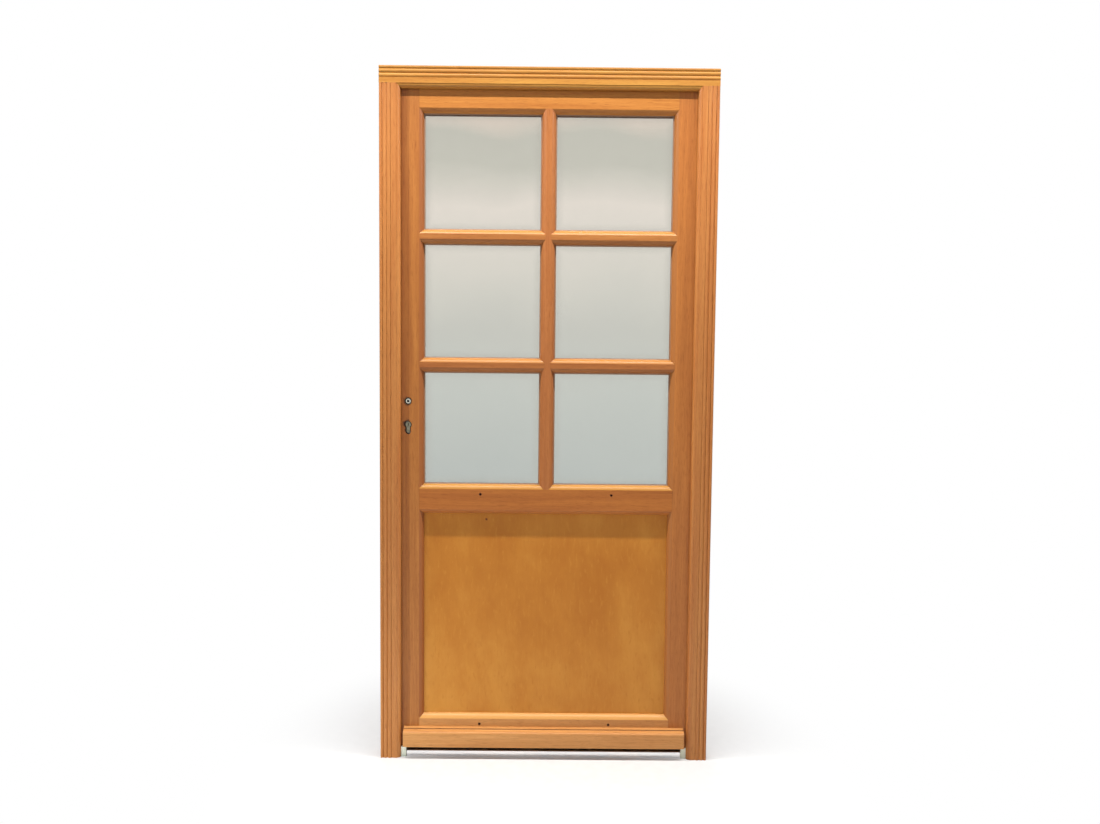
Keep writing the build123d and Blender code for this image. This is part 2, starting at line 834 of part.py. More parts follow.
# Inside beads: four mitred strips that hold a pane or the panel in its rebate
def bead_ring(centre_x, centre_z, sight_width, sight_height):
    """Four separate mitred beads round one sight opening, bevelled towards the room."""
    in_x = sight_width / 2
    in_z = sight_height / 2
    out_x = in_x + moulding_width
    out_z = in_z + moulding_width
    gap = bead_mitre_gap
    with BuildSketch(facade(bead_front)) as strips:
        with Locations((centre_x, centre_z)):
            for side in (-1, 1):
                Polygon(
                    (gap - out_x, side * out_z),
                    (out_x - gap, side * out_z),
                    (in_x - gap, side * in_z),
                    (gap - in_x, side * in_z),
                    align=None,
                )
                Polygon(
                    (side * out_x, gap - out_z),
                    (side * out_x, out_z - gap),
                    (side * in_x, in_z - gap),
                    (side * in_x, gap - in_z),
                    align=None,
                )
    extrude(strips.sketch, amount=bead_front - leaf_back)
    with BuildSketch(facade(leaf_back - bead_bevel_depth)) as bevel_start:
        with Locations((centre_x, centre_z)):
            Rectangle(sight_width, sight_height)
    with BuildSketch(facade(leaf_back)) as bevel_end:
        with Locations((centre_x, centre_z)):
            Rectangle(sight_width + 2 * bead_bevel_width, sight_height + 2 * bead_bevel_width)
    loft([bevel_start.sketch.face(), bevel_end.sketch.face()], mode=Mode.SUBTRACT)


pane_places = [
    (f"{row_names[row]}_{column}", side * pane_centre_x, glass_bottom + pane_height / 2 + row * pane_pitch)
    for row in range(pane_rows)
    for column, side, stile in columns
]
glass_width = pane_width + 2 * rebate_grip
glass_height = pane_height + 2 * rebate_grip

for place, pane_x, pane_z in pane_places:
    with BuildPart() as glass:
        for sheet_y in (glass_front, glass_front + glass_sheet + glass_cavity):
            with BuildSketch(facade(sheet_y)):
                with Locations((pane_x, pane_z)):
                    Rectangle(glass_width, glass_height)
            extrude(amount=-glass_sheet)
    glass.part.label = f"glass_{place}"
    export_step(glass.part, f"parts/glass_{place}.step")

    with BuildPart() as beads:
        bead_ring(pane_x, pane_z, pane_width, pane_height)
    beads.part.label = f"beads_{place}"
    export_step(beads.part, f"parts/beads_{place}.step")

# Spacer frames between the two sheets of each unit
with BuildPart() as glass_spacers:
    with BuildSketch(facade(glass_front + glass_sheet)):
        with Locations(*[(pane_x, pane_z) for place, pane_x, pane_z in pane_places]):
            spacer_x = glass_width - 2 * spacer_inset
            spacer_z = glass_height - 2 * spacer_inset
            Rectangle(spacer_x, spacer_z)
            Rectangle(spacer_x - 2 * spacer_width, spacer_z - 2 * spacer_width, mode=Mode.SUBTRACT)
    extrude(amount=-glass_cavity)
glass_spacers.part.label = "glass_spacers"
export_step(glass_spacers.part, "parts/glass_spacers.step")

# Lower panel: a flat veneered board in the same rebate as the glass
panel_middle = (panel_top + panel_bottom) / 2
with BuildPart() as lower_panel:
    with BuildSketch(facade(glass_front)):
        with Locations((0, panel_middle)):
            Rectangle(2 * (sight_half + rebate_grip), panel_height + 2 * rebate_grip)
    extrude(amount=-glass_unit)
lower_panel.part.label = "lower_panel"
export_step(lower_panel.part, "parts/lower_panel.step")

with BuildPart() as panel_beads:
    bead_ring(0, panel_middle, 2 * sight_half, panel_height)
panel_beads.part.label = "panel_beads"
export_step(panel_beads.part, "parts/panel_beads.step")

# Weatherboard: throws the rain clear of the threshold
with BuildPart() as weatherboard:
    board_plane = Plane(
        origin=(-weatherboard_half, leaf_front, weatherboard_bottom), x_dir=(0, 1, 0), z_dir=(1, 0, 0)
    )
    with BuildSketch(board_plane):
        strip_end = weatherboard_height - weatherboard_strip_drop
        quirk_end = strip_end - weatherboard_quirk
        round_start = quirk_end - weatherboard_top_drop
        nose = weatherboard_nose_radius
        front = -weatherboard_projection
        drip_x = front + drip_setback
        with BuildLine():
            Polyline(
                (0, 0),
                (0, weatherboard_height),
                (-weatherboard_strip, strip_end),
                (-weatherboard_strip, quirk_end),
                (front + nose, round_start),
            )
            RadiusArc((front + nose, round_start), (front, round_start - nose), -nose)
            Polyline(
                (front, round_start - nose),
                (front, 0),
                (drip_x - drip_radius, 0),
            )
            ThreePointArc((drip_x - drip_radius, 0), (drip_x, drip_radius), (drip_x + drip_radius, 0))
            Line((drip_x + drip_radius, 0), (0, 0))
        make_face()
    extrude(amount=2 * weatherboard_half)
    # Its front corners are eased in plan
    with BuildSketch(Plane.XY.offset(weatherboard_bottom)):
        with Locations((0, leaf_front)):
            Rectangle(2 * weatherboard_half, weatherboard_projection, align=(Align.CENTER, Align.MAX))
        corners = vertices().group_by(Axis.Y)[0]
        chamfer(corners, weatherboard_end_chamfer)
    extrude(amount=weatherboard_height, mode=Mode.INTERSECT)
    with Locations(*weatherboard_screw_places):
        screw_hole(weatherboard_screw_length)
weatherboard.part.label = "weatherboard"
export_step(weatherboard.part, "parts/weatherboard.step")

with BuildPart() as weatherboard_screws:
    with Locations(*weatherboard_screw_places):
        screw_form(screw_head_radius, screw_shank_radius, weatherboard_screw_length)
        screw_recess()
weatherboard_screws.part.label = "weatherboard_screws"
export_step(weatherboard_screws.part, "parts/weatherboard_screws.step")

# Lock case: a shallow steel box, open towards the forend
lock_plane = Plane(origin=(lock_x, lock_y, spindle_height), x_dir=(1, 0, 0), z_dir=(0, -1, 0))
plug_plane = Plane(origin=(lock_x, lock_y, cylinder_height), x_dir=(1, 0, 0), z_dir=(0, -1, 0))
with BuildPart() as lock_case:
    with Locations((case_left, lock_y, (case_top + case_bottom) / 2)):
        Box(
            case_depth,
            case_thickness,
            case_top - case_bottom,
            align=(Align.MIN, Align.CENTER, Align.CENTER),
        )
    offset(amount=-case_wall, openings=lock_case.faces().sort_by(Axis.X)[0])
    with BuildSketch(lock_plane):
        Circle(follower_radius + running_clearance)
    with BuildSketch(plug_plane):
        keyhole(
            cylinder_radius + running_clearance,
            cylinder_foot_width + 2 * running_clearance,
            cylinder_overall + 2 * running_clearance,
        )
    extrude(amount=case_thickness, both=True, mode=Mode.SUBTRACT)
lock_case.part.label = "lock_case"
export_step(lock_case.part, "parts/lock_case.step")

# Forend: the lock's face plate, flush in the edge of the stile
with BuildPart() as forend:
    with BuildSketch(Plane.YZ.offset(leaf_left)):
        with Locations((lock_y, forend_middle)):
            SlotOverall(forend_top - forend_bottom, forend_width, rotation=90)
        with Locations((lock_y, latch_z)):
            Rectangle(
                latch_thickness + 2 * running_clearance,
                latch_height + 2 * running_clearance,
                mode=Mode.SUBTRACT,
            )
        with Locations((lock_y, deadbolt_z)):
            Rectangle(
                deadbolt_thickness + 2 * running_clearance,
                deadbolt_height + 2 * running_clearance,
                mode=Mode.SUBTRACT,
            )
    extrude(amount=forend_thickness)
    with Locations(*forend_screw_places):
        screw_hole(plate_screw_length)
    with Locations(cylinder_screw_place):
        screw_hole(plate_screw_length, cylinder_screw_radius)
forend.part.label = "forend"
export_step(forend.part, "parts/forend.step")

with BuildPart() as forend_screws:
    with Locations(*forend_screw_places):
        screw_form(screw_head_radius, screw_shank_radius, plate_screw_length)
        screw_recess()
forend_screws.part.label = "forend_screws"
export_step(forend_screws.part, "parts/forend_screws.step")

# Latch bolt, drawn back; its tail is notched for the follower's arm
with BuildPart() as latch_bolt:
    latch_left = leaf_left + bolt_setback
    latch_length = backset + latch_tail - bolt_setback
    with BuildSketch(Plane.XY.offset(latch_z - latch_height / 2)):
        half = latch_thickness / 2
        with BuildLine():
            Polyline(
                (latch_left, lock_y + half),
                (latch_left + latch_length, lock_y + half),
                (latch_left + latch_length, lock_y - half),
                (latch_left + latch_travel, lock_y - half),
                (latch_left, lock_y + half - latch_tip),
                close=True,
            )
        make_face()
    extrude(amount=latch_height)
    with Locations((lock_x + latch_travel / 2, lock_y, latch_z - latch_height / 2)):
        Box(
            latch_notch_width,
            latch_thickness,
            latch_notch_height,
            align=(Align.CENTER, Align.CENTER, Align.MIN),
            mode=Mode.SUBTRACT,
        )
latch_bolt.part.label = "latch_bolt"
export_step(latch_bolt.part, "parts/latch_bolt.step")

# Deadbolt, drawn back; its lower edge is notched for the cylinder's cam
with BuildPart() as deadbolt:
    with Locations((leaf_left + bolt_setback, lock_y, deadbolt_z)):
        Box(
            backset + deadbolt_tail - bolt_setback,
            deadbolt_thickness,
            deadbolt_height,
            align=(Align.MIN, Align.CENTER, Align.CENTER),
        )
    with Locations((lock_x + deadbolt_travel / 2, lock_y, deadbolt_z - deadbolt_height / 2)):
        Box(
            deadbolt_notch_width,
            deadbolt_thickness,
            deadbolt_notch_height,
            align=(Align.CENTER, Align.CENTER, Align.MIN),
            mode=Mode.SUBTRACT,
        )
deadbolt.part.label = "deadbolt"
export_step(deadbolt.part, "parts/deadbolt.step")

# Follower: the square-holed hub that the handle's spindle turns
with BuildPart() as lock_follower:
    with BuildSketch(spindle_plane.offset(-follower_recess)):
        Circle(follower_radius)
        Rectangle(follower_square, follower_square, mode=Mode.SUBTRACT)
    extrude(amount=-(leaf_thickness - 2 * follower_recess))
    with BuildSketch(lock_plane):
        with Locations(Location((0, 0), -follower_lean)):
            with Locations((0, follower_arm_reach)):
                Rectangle(
                    follower_arm_width,
                    follower_arm_reach - follower_radius * follower_arm_root_share,
                    align=(Align.CENTER, Align.MAX),
                )
    extrude(amount=follower_arm_thickness / 2, both=True)
lock_follower.part.label = "lock_follower"
export_step(lock_follower.part, "parts/lock_follower.step")

# Profile cylinder: body, plug with its keyways, and the cam in the middle slot
with BuildPart() as cylinder_body:
    with BuildSketch(plug_plane):
        keyhole(cylinder_radius, cylinder_foot_width, cylinder_overall)
        Circle(plug_radius + running_clearance, mode=Mode.SUBTRACT)
    extrude(amount=cylinder_half_length, both=True)
    with BuildSketch(plug_plane):
        Circle(cylinder_radius + running_clearance)
    extrude(amount=cylinder_slot / 2, both=True, mode=Mode.SUBTRACT)
    with Locations(cylinder_screw_place):
        Cylinder(
            cylinder_screw_radius + screw_clearance,
            backset + cylinder_radius,
            align=(Align.CENTER, Align.CENTER, Align.MAX),
            mode=Mode.SUBTRACT,
        )
cylinder_body.part.label = "cylinder_body"
export_step(cylinder_body.part, "parts/cylinder_body.step")

with BuildPart() as cylinder_plug:
    with BuildSketch(plug_plane):
        Circle(plug_radius)
    extrude(amount=cylinder_half_length, both=True)
    for end in (-1, 1):
        with BuildSketch(plug_plane.offset(end * cylinder_half_length)):
            Rectangle(keyway_width, keyway_height)
        extrude(amount=-end * keyway_depth, mode=Mode.SUBTRACT)
cylinder_plug.part.label = "cylinder_plug"
export_step(cylinder_plug.part, "parts/cylinder_plug.step")

with BuildPart() as cylinder_cam:
    with BuildSketch(plug_plane):
        Circle(cylinder_radius)
        with Locations(Location((0, 0), -cam_lean)):
            with Locations((0, cam_reach)):
                Rectangle(cam_tip_width, cam_reach, align=(Align.CENTER, Align.MAX))
        Circle(plug_radius + cam_clearance, mode=Mode.SUBTRACT)
    extrude(amount=cam_width / 2, both=True)
cylinder_cam.part.label = "cylinder_cam"
export_step(cylinder_cam.part, "parts/cylinder_cam.step")

with BuildPart() as cylinder_screw:
    with Locations(cylinder_screw_place):
        screw_form(screw_head_radius, cylinder_screw_radius, backset + cylinder_foot_width / 2)
        screw_recess()
cylinder_screw.part.label = "cylinder_screw"
export_step(cylinder_screw.part, "parts/cylinder_screw.step")

# Hinges: a barrel with a stem on the jamb, another above it on the leaf, one pin through both
hinge_names = ("low", "middle", "top")
pin_depth = hinge_barrel_height - hinge_barrel_floor
for name, height in zip(hinge_names, hinge_heights):
    with BuildPart() as frame_half:
        with Locations((hinge_x, hinge_y, height)):
            Cylinder(
                hinge_barrel_radius,
                hinge_barrel_height,
                align=(Align.CENTER, Align.CENTER, Align.MAX),
            )
        chamfer(frame_half.edges().filter_by(GeomType.CIRCLE).sort_by(Axis.Z)[0], hinge_crown)
        hinge_stem(height - hinge_barrel_height / 2, 1, hinge_stem_radius, hinge_stem_length)
        with Locations((hinge_x, hinge_y, height)):
            Cylinder(
                hinge_pin_radius + hinge_pin_clearance,
                pin_depth,
                align=(Align.CENTER, Align.CENTER, Align.MAX),
                mode=Mode.SUBTRACT,
            )
    frame_half.part.label = f"hinge_{name}_frame_half"
    export_step(frame_half.part, f"parts/hinge_{name}_frame_half.step")

    with BuildPart() as leaf_half:
        base = height + hinge_barrel_gap
        with Locations((hinge_x, hinge_y, base)):
            Cylinder(
                hinge_barrel_radius,
                hinge_barrel_height,
                align=(Align.CENTER, Align.CENTER, Align.MIN),
            )
        chamfer(leaf_half.edges().filter_by(GeomType.CIRCLE).sort_by(Axis.Z)[-1], hinge_crown)
        hinge_stem(base + hinge_barrel_height / 2, -1, hinge_stem_radius, hinge_stem_length)
        with Locations((hinge_x, hinge_y, base)):
            Cylinder(
                hinge_pin_radius + running_clearance,
                hinge_pin_reach + end_room,
                align=(Align.CENTER, Align.CENTER, Align.MIN),
                mode=Mode.SUBTRACT,
            )
    leaf_half.part.label = f"hinge_{name}_leaf_half"
    export_step(leaf_half.part, f"parts/hinge_{name}_leaf_half.step")

with BuildPart() as hinge_pins:
    with Locations(*[(hinge_x, hinge_y, height - pin_depth) for height in hinge_heights]):
        Cylinder(
            hinge_pin_radius,
            pin_depth + hinge_pin_reach,
            align=(Align.CENTER, Align.CENTER, Align.MIN),
        )
hinge_pins.part.label = "hinge_pins"
export_step(hinge_pins.part, "parts/hinge_pins.step")
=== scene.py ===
import json
import math

import bmesh
import bpy
from mathutils import Matrix, Vector


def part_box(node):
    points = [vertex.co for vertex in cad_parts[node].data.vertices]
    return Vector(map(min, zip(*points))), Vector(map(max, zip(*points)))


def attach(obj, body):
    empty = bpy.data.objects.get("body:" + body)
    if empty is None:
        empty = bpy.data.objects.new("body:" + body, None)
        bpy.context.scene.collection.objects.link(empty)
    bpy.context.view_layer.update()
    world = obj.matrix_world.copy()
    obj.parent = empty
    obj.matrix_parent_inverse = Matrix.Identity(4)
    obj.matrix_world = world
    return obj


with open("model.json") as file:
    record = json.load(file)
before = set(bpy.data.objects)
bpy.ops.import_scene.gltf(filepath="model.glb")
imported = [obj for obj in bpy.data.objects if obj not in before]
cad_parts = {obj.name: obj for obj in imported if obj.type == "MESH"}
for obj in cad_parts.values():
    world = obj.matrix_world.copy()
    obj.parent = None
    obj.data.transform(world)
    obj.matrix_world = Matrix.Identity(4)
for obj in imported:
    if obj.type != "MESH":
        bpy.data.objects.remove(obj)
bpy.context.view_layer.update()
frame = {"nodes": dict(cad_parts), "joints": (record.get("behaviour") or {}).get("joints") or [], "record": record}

nodes = frame["nodes"]


# Frame head and jambs. One hardwood section is moulded with reeds, a flat band and a rounded lip.
# The head lies over both jambs and is screwed down on them, and all three have a satin varnish.
def srgb(red, green, blue):
    """Colour from 0 to 255 as it looks on a screen, in the linear values that shaders take."""
    shares = [value / 255 for value in (red, green, blue)]
    linear = [s / 12.92 if s <= 0.04045 else ((s + 0.055) / 1.055) ** 2.4 for s in shares]
    return (*linear, 1.0)


white = (1.0, 1.0, 1.0, 1.0)


def put(tree, kind, inputs=None, **settings):
    """Add a shader node, set its properties, and fill its inputs with values or other nodes' outputs."""
    node = tree.nodes.new(kind)
    for name, value in settings.items():
        setattr(node, name, value)
    for socket, value in (inputs or {}).items():
        if isinstance(value, bpy.types.NodeSocket):
            tree.links.new(value, node.inputs[socket])
        else:
            node.inputs[socket].default_value = value
    return node


def math_node(tree, operation, first, second=0.0, clamp=False):
    """Output of one arithmetic node."""
    inputs = {0: first, 1: second}
    return put(tree, "ShaderNodeMath", inputs, operation=operation, use_clamp=clamp).outputs[0]


def vector_node(tree, operation, first, second=(0.0, 0.0, 0.0)):
    """Output of one vector arithmetic node: a number where the operation measures, or else a vector."""
    node = put(tree, "ShaderNodeVectorMath", {0: first, 1: second}, operation=operation)
    measures = operation in ("DISTANCE", "DOT_PRODUCT", "LENGTH")
    return node.outputs["Value" if measures else "Vector"]


def axis_of(tree, place, axis):
    """One coordinate of a place."""
    return put(tree, "ShaderNodeSeparateXYZ", {0: place}).outputs[axis]


def remap(tree, value, start, end, first, last, curve="LINEAR"):
    """Output that goes from first to last while a value goes from start to end."""
    inputs = {0: value, 1: start, 2: end, 3: first, 4: last}
    return put(tree, "ShaderNodeMapRange", inputs, interpolation_type=curve).outputs[0]


def ramp(tree, factor, stops):
    """Output of a colour ramp through (position, colour) stops."""
    node = put(tree, "ShaderNodeValToRGB", {"Fac": factor})
    elements = node.color_ramp.elements
    while len(elements) < len(stops):
        elements.new(1.0)
    for element, (position, colour) in zip(elements, stops):
        element.position = position
        element.color = colour
    return node.outputs["Color"]


def blend_colour(tree, factor, first, second, mode="MIX"):
    """Output of a colour mix."""
    node = put(tree, "ShaderNodeMix", data_type="RGBA", blend_type=mode)
    for index, value in ((0, factor), (6, first), (7, second)):
        if isinstance(value, bpy.types.NodeSocket):
            tree.links.new(value, node.inputs[index])
        else:
            node.inputs[index].default_value = value
    return node.outputs[2]


def noise(tree, place, scale, detail):
    """Even noise with about that many features per metre."""
    inputs = {"Vector": place, "Scale": scale, "Detail": detail}
    return put(tree, "ShaderNodeTexNoise", inputs).outputs["Fac"]


def stretched_noise(tree, place, across, along, detail, grain, offset):
    """Noise drawn out along the grain: across and along are its features per metre."""
    scale = (along, across, across) if grain == "X" else (across, across, along)
    mapped = put(tree, "ShaderNodeMapping", {"Vector": place, "Location": offset, "Scale": scale})
    inputs = {"Vector": mapped.outputs[0], "Scale": 1.0, "Detail": detail, "Roughness": 0.58}
    return put(tree, "ShaderNodeTexNoise", inputs).outputs["Fac"]


def spot_mask(tree, place, centre, radius):
    """One inside a ragged round spot, fading to zero at its radius."""
    full_share = 0.55
    rag_size_share = 1.2
    rag_base = 0.5
    away = vector_node(tree, "DISTANCE", place, centre)
    ragged = math_node(tree, "ADD", noise(tree, place, rag_size_share / radius, detail=3.0), rag_base)
    reach = math_node(tree, "MULTIPLY", away, ragged)
    return remap(tree, reach, start=radius, end=radius * full_share, first=0.0, last=1.0)


def new_material(name):
    """Empty node material with its tree and its surface shader."""
    material = bpy.data.materials.new(name)
    material.use_nodes = True
    tree = material.node_tree
    return material, tree, tree.nodes["Principled BSDF"]


# Most of a noise lies between these two values.
noise_low = 0.3
noise_high = 0.7


def uneven_gloss(tree, shader, pattern, shiny, dull):
    """Roughness that follows a noise pattern."""
    rough = remap(tree, pattern, start=noise_low, end=noise_high, first=shiny, last=dull)
    tree.links.new(rough, shader.inputs["Roughness"])


def relief(tree, shader, height, strength, depth):
    """Fine relief that follows a pattern of heights."""
    bump = put(tree, "ShaderNodeBump", {"Strength": strength, "Distance": depth, "Height": height})
    tree.links.new(bump.outputs[0], shader.inputs["Normal"])


def hardwood(name, grain, light, deep, offset, joints=None, lamella=None, quirk=None, painted_facing_light=None, marks=()):
    """Satin-varnished reddish hardwood with its grain along X or Z.

    joints darkens a fine line where a rail meets the stiles, at that distance from the middle.
    lamella gives (x, colour) of a glued-on strip left of x, quirk gives (y, half width) of a groove
    along X with painted shade in it, painted_facing_light gives (direction, colour) of painted light
    or shade on faces turned that way, and marks are dark spots in the surface.
    """
    sway_reach = 0.016
    figure_share = 0.6
    streak_share = 0.4
    strip_share = 0.5
    glue_share = 0.45
    pore_share = 0.8
    joint_line = 0.0016
    glue_half = 0.0006
    joint_dark = (0.10, 0.03, 0.01, 1.0)
    quirk_shade = (0.12, 0.045, 0.015, 1.0)
    pore_brown = (0.66, 0.58, 0.52, 1.0)
    material, tree, shader = new_material(name)
    coords = put(tree, "ShaderNodeTexCoord").outputs
    place = coords["Object"]
    drift = put(tree, "ShaderNodeTexNoise", {"Vector": place, "Scale": 2.2, "Detail": 2.0}).outputs["Color"]
    swing = vector_node(tree, "SUBTRACT", drift, (0.5, 0.5, 0.5))
    sway = vector_node(tree, "MULTIPLY", swing, (sway_reach, sway_reach, sway_reach))
    bent = vector_node(tree, "ADD", place, sway)
    figure = stretched_noise(tree, bent, across=46.0, along=1.3, detail=4.0, grain=grain, offset=offset)
    streaks = stretched_noise(tree, bent, across=230.0, along=5.0, detail=5.0, grain=grain, offset=offset)
    pores = stretched_noise(tree, bent, across=1000.0, along=34.0, detail=2.0, grain=grain, offset=offset)
    broad = math_node(tree, "MULTIPLY", figure, figure_share)
    fine = math_node(tree, "MULTIPLY", streaks, streak_share)
    tone = math_node(tree, "ADD", broad, fine)
    colour = ramp(tree, tone, [(0.36, deep), (0.64, light)])
    if lamella:
        edge, tint = lamella
        from_edge = math_node(tree, "SUBTRACT", axis_of(tree, place, "X"), edge)
        strip = math_node(tree, "LESS_THAN", from_edge, 0.0)
        tinted = math_node(tree, "MULTIPLY", strip, strip_share)
        colour = blend_colour(tree, tinted, colour, tint, "MULTIPLY")
        glue = math_node(tree, "LESS_THAN", math_node(tree, "ABSOLUTE", from_edge), glue_half)
        colour = blend_colour(tree, math_node(tree, "MULTIPLY", glue, glue_share), colour, deep)
    pits = ramp(tree, pores, [(0.33, pore_brown), (0.45, white)])
    colour = blend_colour(tree, pore_share, colour, pits, "MULTIPLY")
    if joints:
        reach = math_node(tree, "ABSOLUTE", axis_of(tree, place, "X"))
        line = remap(tree, reach, start=joints - joint_line, end=joints, first=0.0, last=0.65)
        colour = blend_colour(tree, line, colour, joint_dark)
    # A dark line along the quirk: painted shade in the groove.
    if quirk:
        depth, half_width = quirk
        from_quirk = math_node(tree, "SUBTRACT", axis_of(tree, place, "Y"), depth)
        aside = math_node(tree, "ABSOLUTE", from_quirk)
        dirt_and_quirk_shade = remap(tree, aside, start=half_width, end=half_width / 2, first=0.0, last=0.75)
        colour = blend_colour(tree, dirt_and_quirk_shade, colour, quirk_shade)
    # Faces turned one way take another tone: painted light or shade.
    if painted_facing_light:
        direction, painted_tone = painted_facing_light
        turned = vector_node(tree, "DOT_PRODUCT", coords["Normal"], direction)
        share = remap(tree, turned, start=0.15, end=0.5, first=0.0, last=0.85)
        colour = blend_colour(tree, share, colour, painted_tone)
    for centre, radius, mark_colour in marks:
        colour = blend_colour(tree, spot_mask(tree, place, centre, radius), colour, mark_colour)
    tree.links.new(colour, shader.inputs["Base Color"])
    uneven_gloss(tree, shader, streaks, shiny=0.34, dull=0.46)
    shader.inputs["Specular IOR Level"].default_value = 0.24
    shader.inputs["Coat Weight"].default_value = 0.08
    shader.inputs["Coat Roughness"].default_value = 0.22
    height = math_node(tree, "ADD", pores, math_node(tree, "MULTIPLY", streaks, 0.8))
    relief(tree, shader, height, strength=0.22, depth=0.0004)
    return material


def ease_edges(piece, width):
    """Round a piece's sharp edges a little, as sanding or tumbling does."""
    weld_reach = 1e-5
    flat_angle = math.radians(0.5)
    sharp_angle = math.radians(18)
    mesh = piece.data
    for stored in ("custom_normal", "sharp_edge", "sharp_face"):
        if stored in mesh.attributes:
            mesh.attributes.remove(mesh.attributes[stored])
    weld = piece.modifiers.new("weld", "WELD")
    weld.merge_threshold = weld_reach
    flat = piece.modifiers.new("flat", "DECIMATE")
    flat.decimate_type = "DISSOLVE"
    flat.angle_limit = flat_angle
    rounded = piece.modifiers.new("rounded", "BEVEL")
    rounded.width = width
    rounded.segments = 2
    rounded.limit_method = "ANGLE"
    rounded.angle_limit = sharp_angle
    rounded.harden_normals = True
    rounded.use_clamp_overlap = True


def dress(names, material, edge=0.0):
    """Give CAD pieces their finish, and ease their edges where edge is a width."""
    for name in names:
        nodes[name].material_slots[0].material = material
        if edge:
            ease_edges(nodes[name], edge)


frame_edge = 0.0008
# The head's wood is yellower than the jambs': a painted highlight tone for its brightly lit front.
head_highlight_wood = hardwood(
    "head_highlight_wood", "X", light=srgb(194, 140, 63), deep=srgb(171, 110, 45), offset=(3.0, 1.0, 0.0)
)
jamb_wood = hardwood(
    "jamb_wood", "Z", light=srgb(188, 126, 68), deep=srgb(170, 104, 52), offset=(0.0, 2.0, 5.0)
)
dress(["frame_head"], head_highlight_wood, frame_edge)
dress(["frame_jamb_lock", "frame_jamb_hinge"], jamb_wood, frame_edge)


# Screws of the frame's corners, strike plate, weatherboard, forend and cylinder. Zinc-plated steel,
# countersunk, with a cross recess in each head. The weatherboard's sit deep in bores from inside.
def worn_metal(name, colour, dull, roughness, lines, tarnish, patches=140.0):
    """Metal with fine scratches, a patchy tarnish and uneven gloss.

    lines and patches are the scratches and the dull spots per metre, and tarnish is how far the spots
    go from colour to dull.
    """
    shinier = 0.06
    duller = 0.08
    shadow = (0.86, 0.86, 0.86, 1.0)
    material, tree, shader = new_material(name)
    place = put(tree, "ShaderNodeTexCoord").outputs["Object"]
    brushed = put(tree, "ShaderNodeMapping", {"Vector": place, "Scale": lines}).outputs[0]
    scratches = noise(tree, brushed, scale=1.0, detail=4.0)
    spots = noise(tree, place, scale=patches, detail=5.0)
    dulled = remap(tree, spots, start=0.42, end=0.68, first=0.0, last=tarnish)
    shade = blend_colour(tree, dulled, colour, dull)
    streak = ramp(tree, scratches, [(noise_low, shadow), (noise_high, white)])
    tree.links.new(blend_colour(tree, 1.0, shade, streak, "MULTIPLY"), shader.inputs["Base Color"])
    uneven_gloss(tree, shader, scratches, shiny=roughness - shinier, dull=roughness + duller)
    shader.inputs["Metallic"].default_value = 1.0
    relief(tree, shader, scratches, strength=0.15, depth=0.0001)
    return material


screw_zinc = worn_metal(
    "screw_zinc",
    colour=srgb(196, 192, 176),
    dull=srgb(128, 118, 96),
    roughness=0.34,
    lines=(700.0, 700.0, 700.0),
    tarnish=0.7,
)
screws = ["frame_corner_screws", "strike_screws", "weatherboard_screws", "forend_screws", "cylinder_screw"]
dress(screws, screw_zinc)

# Threshold. A hollow aluminium extrusion, left bright, that closes the frame at the floor.
# Its drawing lines run along its length, dust dulls it in patches, and feet have scuffed its top.
upward = (0.0, 0.0, 1.0)


def scuffed_tread(material, colour):
    """Dull a metal in uneven patches on the faces that feet pass over."""
    tree = material.node_tree
    base = tree.nodes["Principled BSDF"].inputs["Base Color"]
    coords = put(tree, "ShaderNodeTexCoord").outputs
    turned = vector_node(tree, "DOT_PRODUCT", coords["Normal"], upward)
    tread = remap(tree, turned, start=0.5, end=0.8, first=0.0, last=1.0)
    scuffs = noise(tree, coords["Object"], scale=24.0, detail=6.0)
    wear = remap(tree, scuffs, start=noise_low, end=noise_high, first=0.5, last=1.0)
    share = math_node(tree, "MULTIPLY", tread, wear)
    tree.links.new(blend_colour(tree, share, base.links[0].from_socket, colour), base)


threshold_metal = worn_metal(
    "threshold_metal",
    colour=srgb(254, 254, 255),
    dull=srgb(236, 241, 247),
    roughness=0.28,
    lines=(6.0, 900.0, 900.0),
    tarnish=0.6,
    patches=9.0,
)
scuffed_tread(threshold_metal, srgb(158, 159, 158))
dress(["threshold"], threshold_metal, edge=0.0004)


# End blocks. Moulded pale plastic plugs that close the threshold against the jambs' noses.
# They are slightly dirty towards the floor.
def matt_skin(name, colour, grime, roughness, grime_height=0.03):
    """Plastic, rubber, sealant or painted shade with a fine grain, faintly patchy, with grime near the floor."""
    gloss_spread = 0.08
    material, tree, shader = new_material(name)
    place = put(tree, "ShaderNodeTexCoord").outputs["Object"]
    patches = noise(tree, place, scale=90.0, detail=5.0)
    low = remap(tree, axis_of(tree, place, "Z"), start=grime_height, end=0.0, first=0.25, last=1.0)
    dirt_and_quirk_shade = math_node(tree, "MULTIPLY", low, patches, clamp=True)
    tree.links.new(blend_colour(tree, dirt_and_quirk_shade, colour, grime), shader.inputs["Base Color"])
    grain = noise(tree, place, scale=1800.0, detail=2.0)
    uneven_gloss(tree, shader, grain, shiny=roughness - gloss_spread, dull=roughness + gloss_spread)
    relief(tree, shader, grain, strength=0.2, depth=0.0001)
    return material


block_plastic = matt_skin(
    "block_plastic", colour=srgb(226, 226, 206), grime=srgb(150, 158, 142), roughness=0.5
)
dress(["threshold_end_block_lock", "threshold_end_block_hinge"], block_plastic, edge=0.0005)

# Weather seals. Soft black rubber beads pressed into grooves in the frame's nose and the threshold.
# They meet the leaf all round when it is shut.
seal_rubber = matt_skin(
    "seal_rubber", colour=srgb(44, 42, 40), grime=srgb(70, 68, 64), roughness=0.7, grime_height=0.05
)
dress(["frame_seal", "threshold_seal"], seal_rubber)

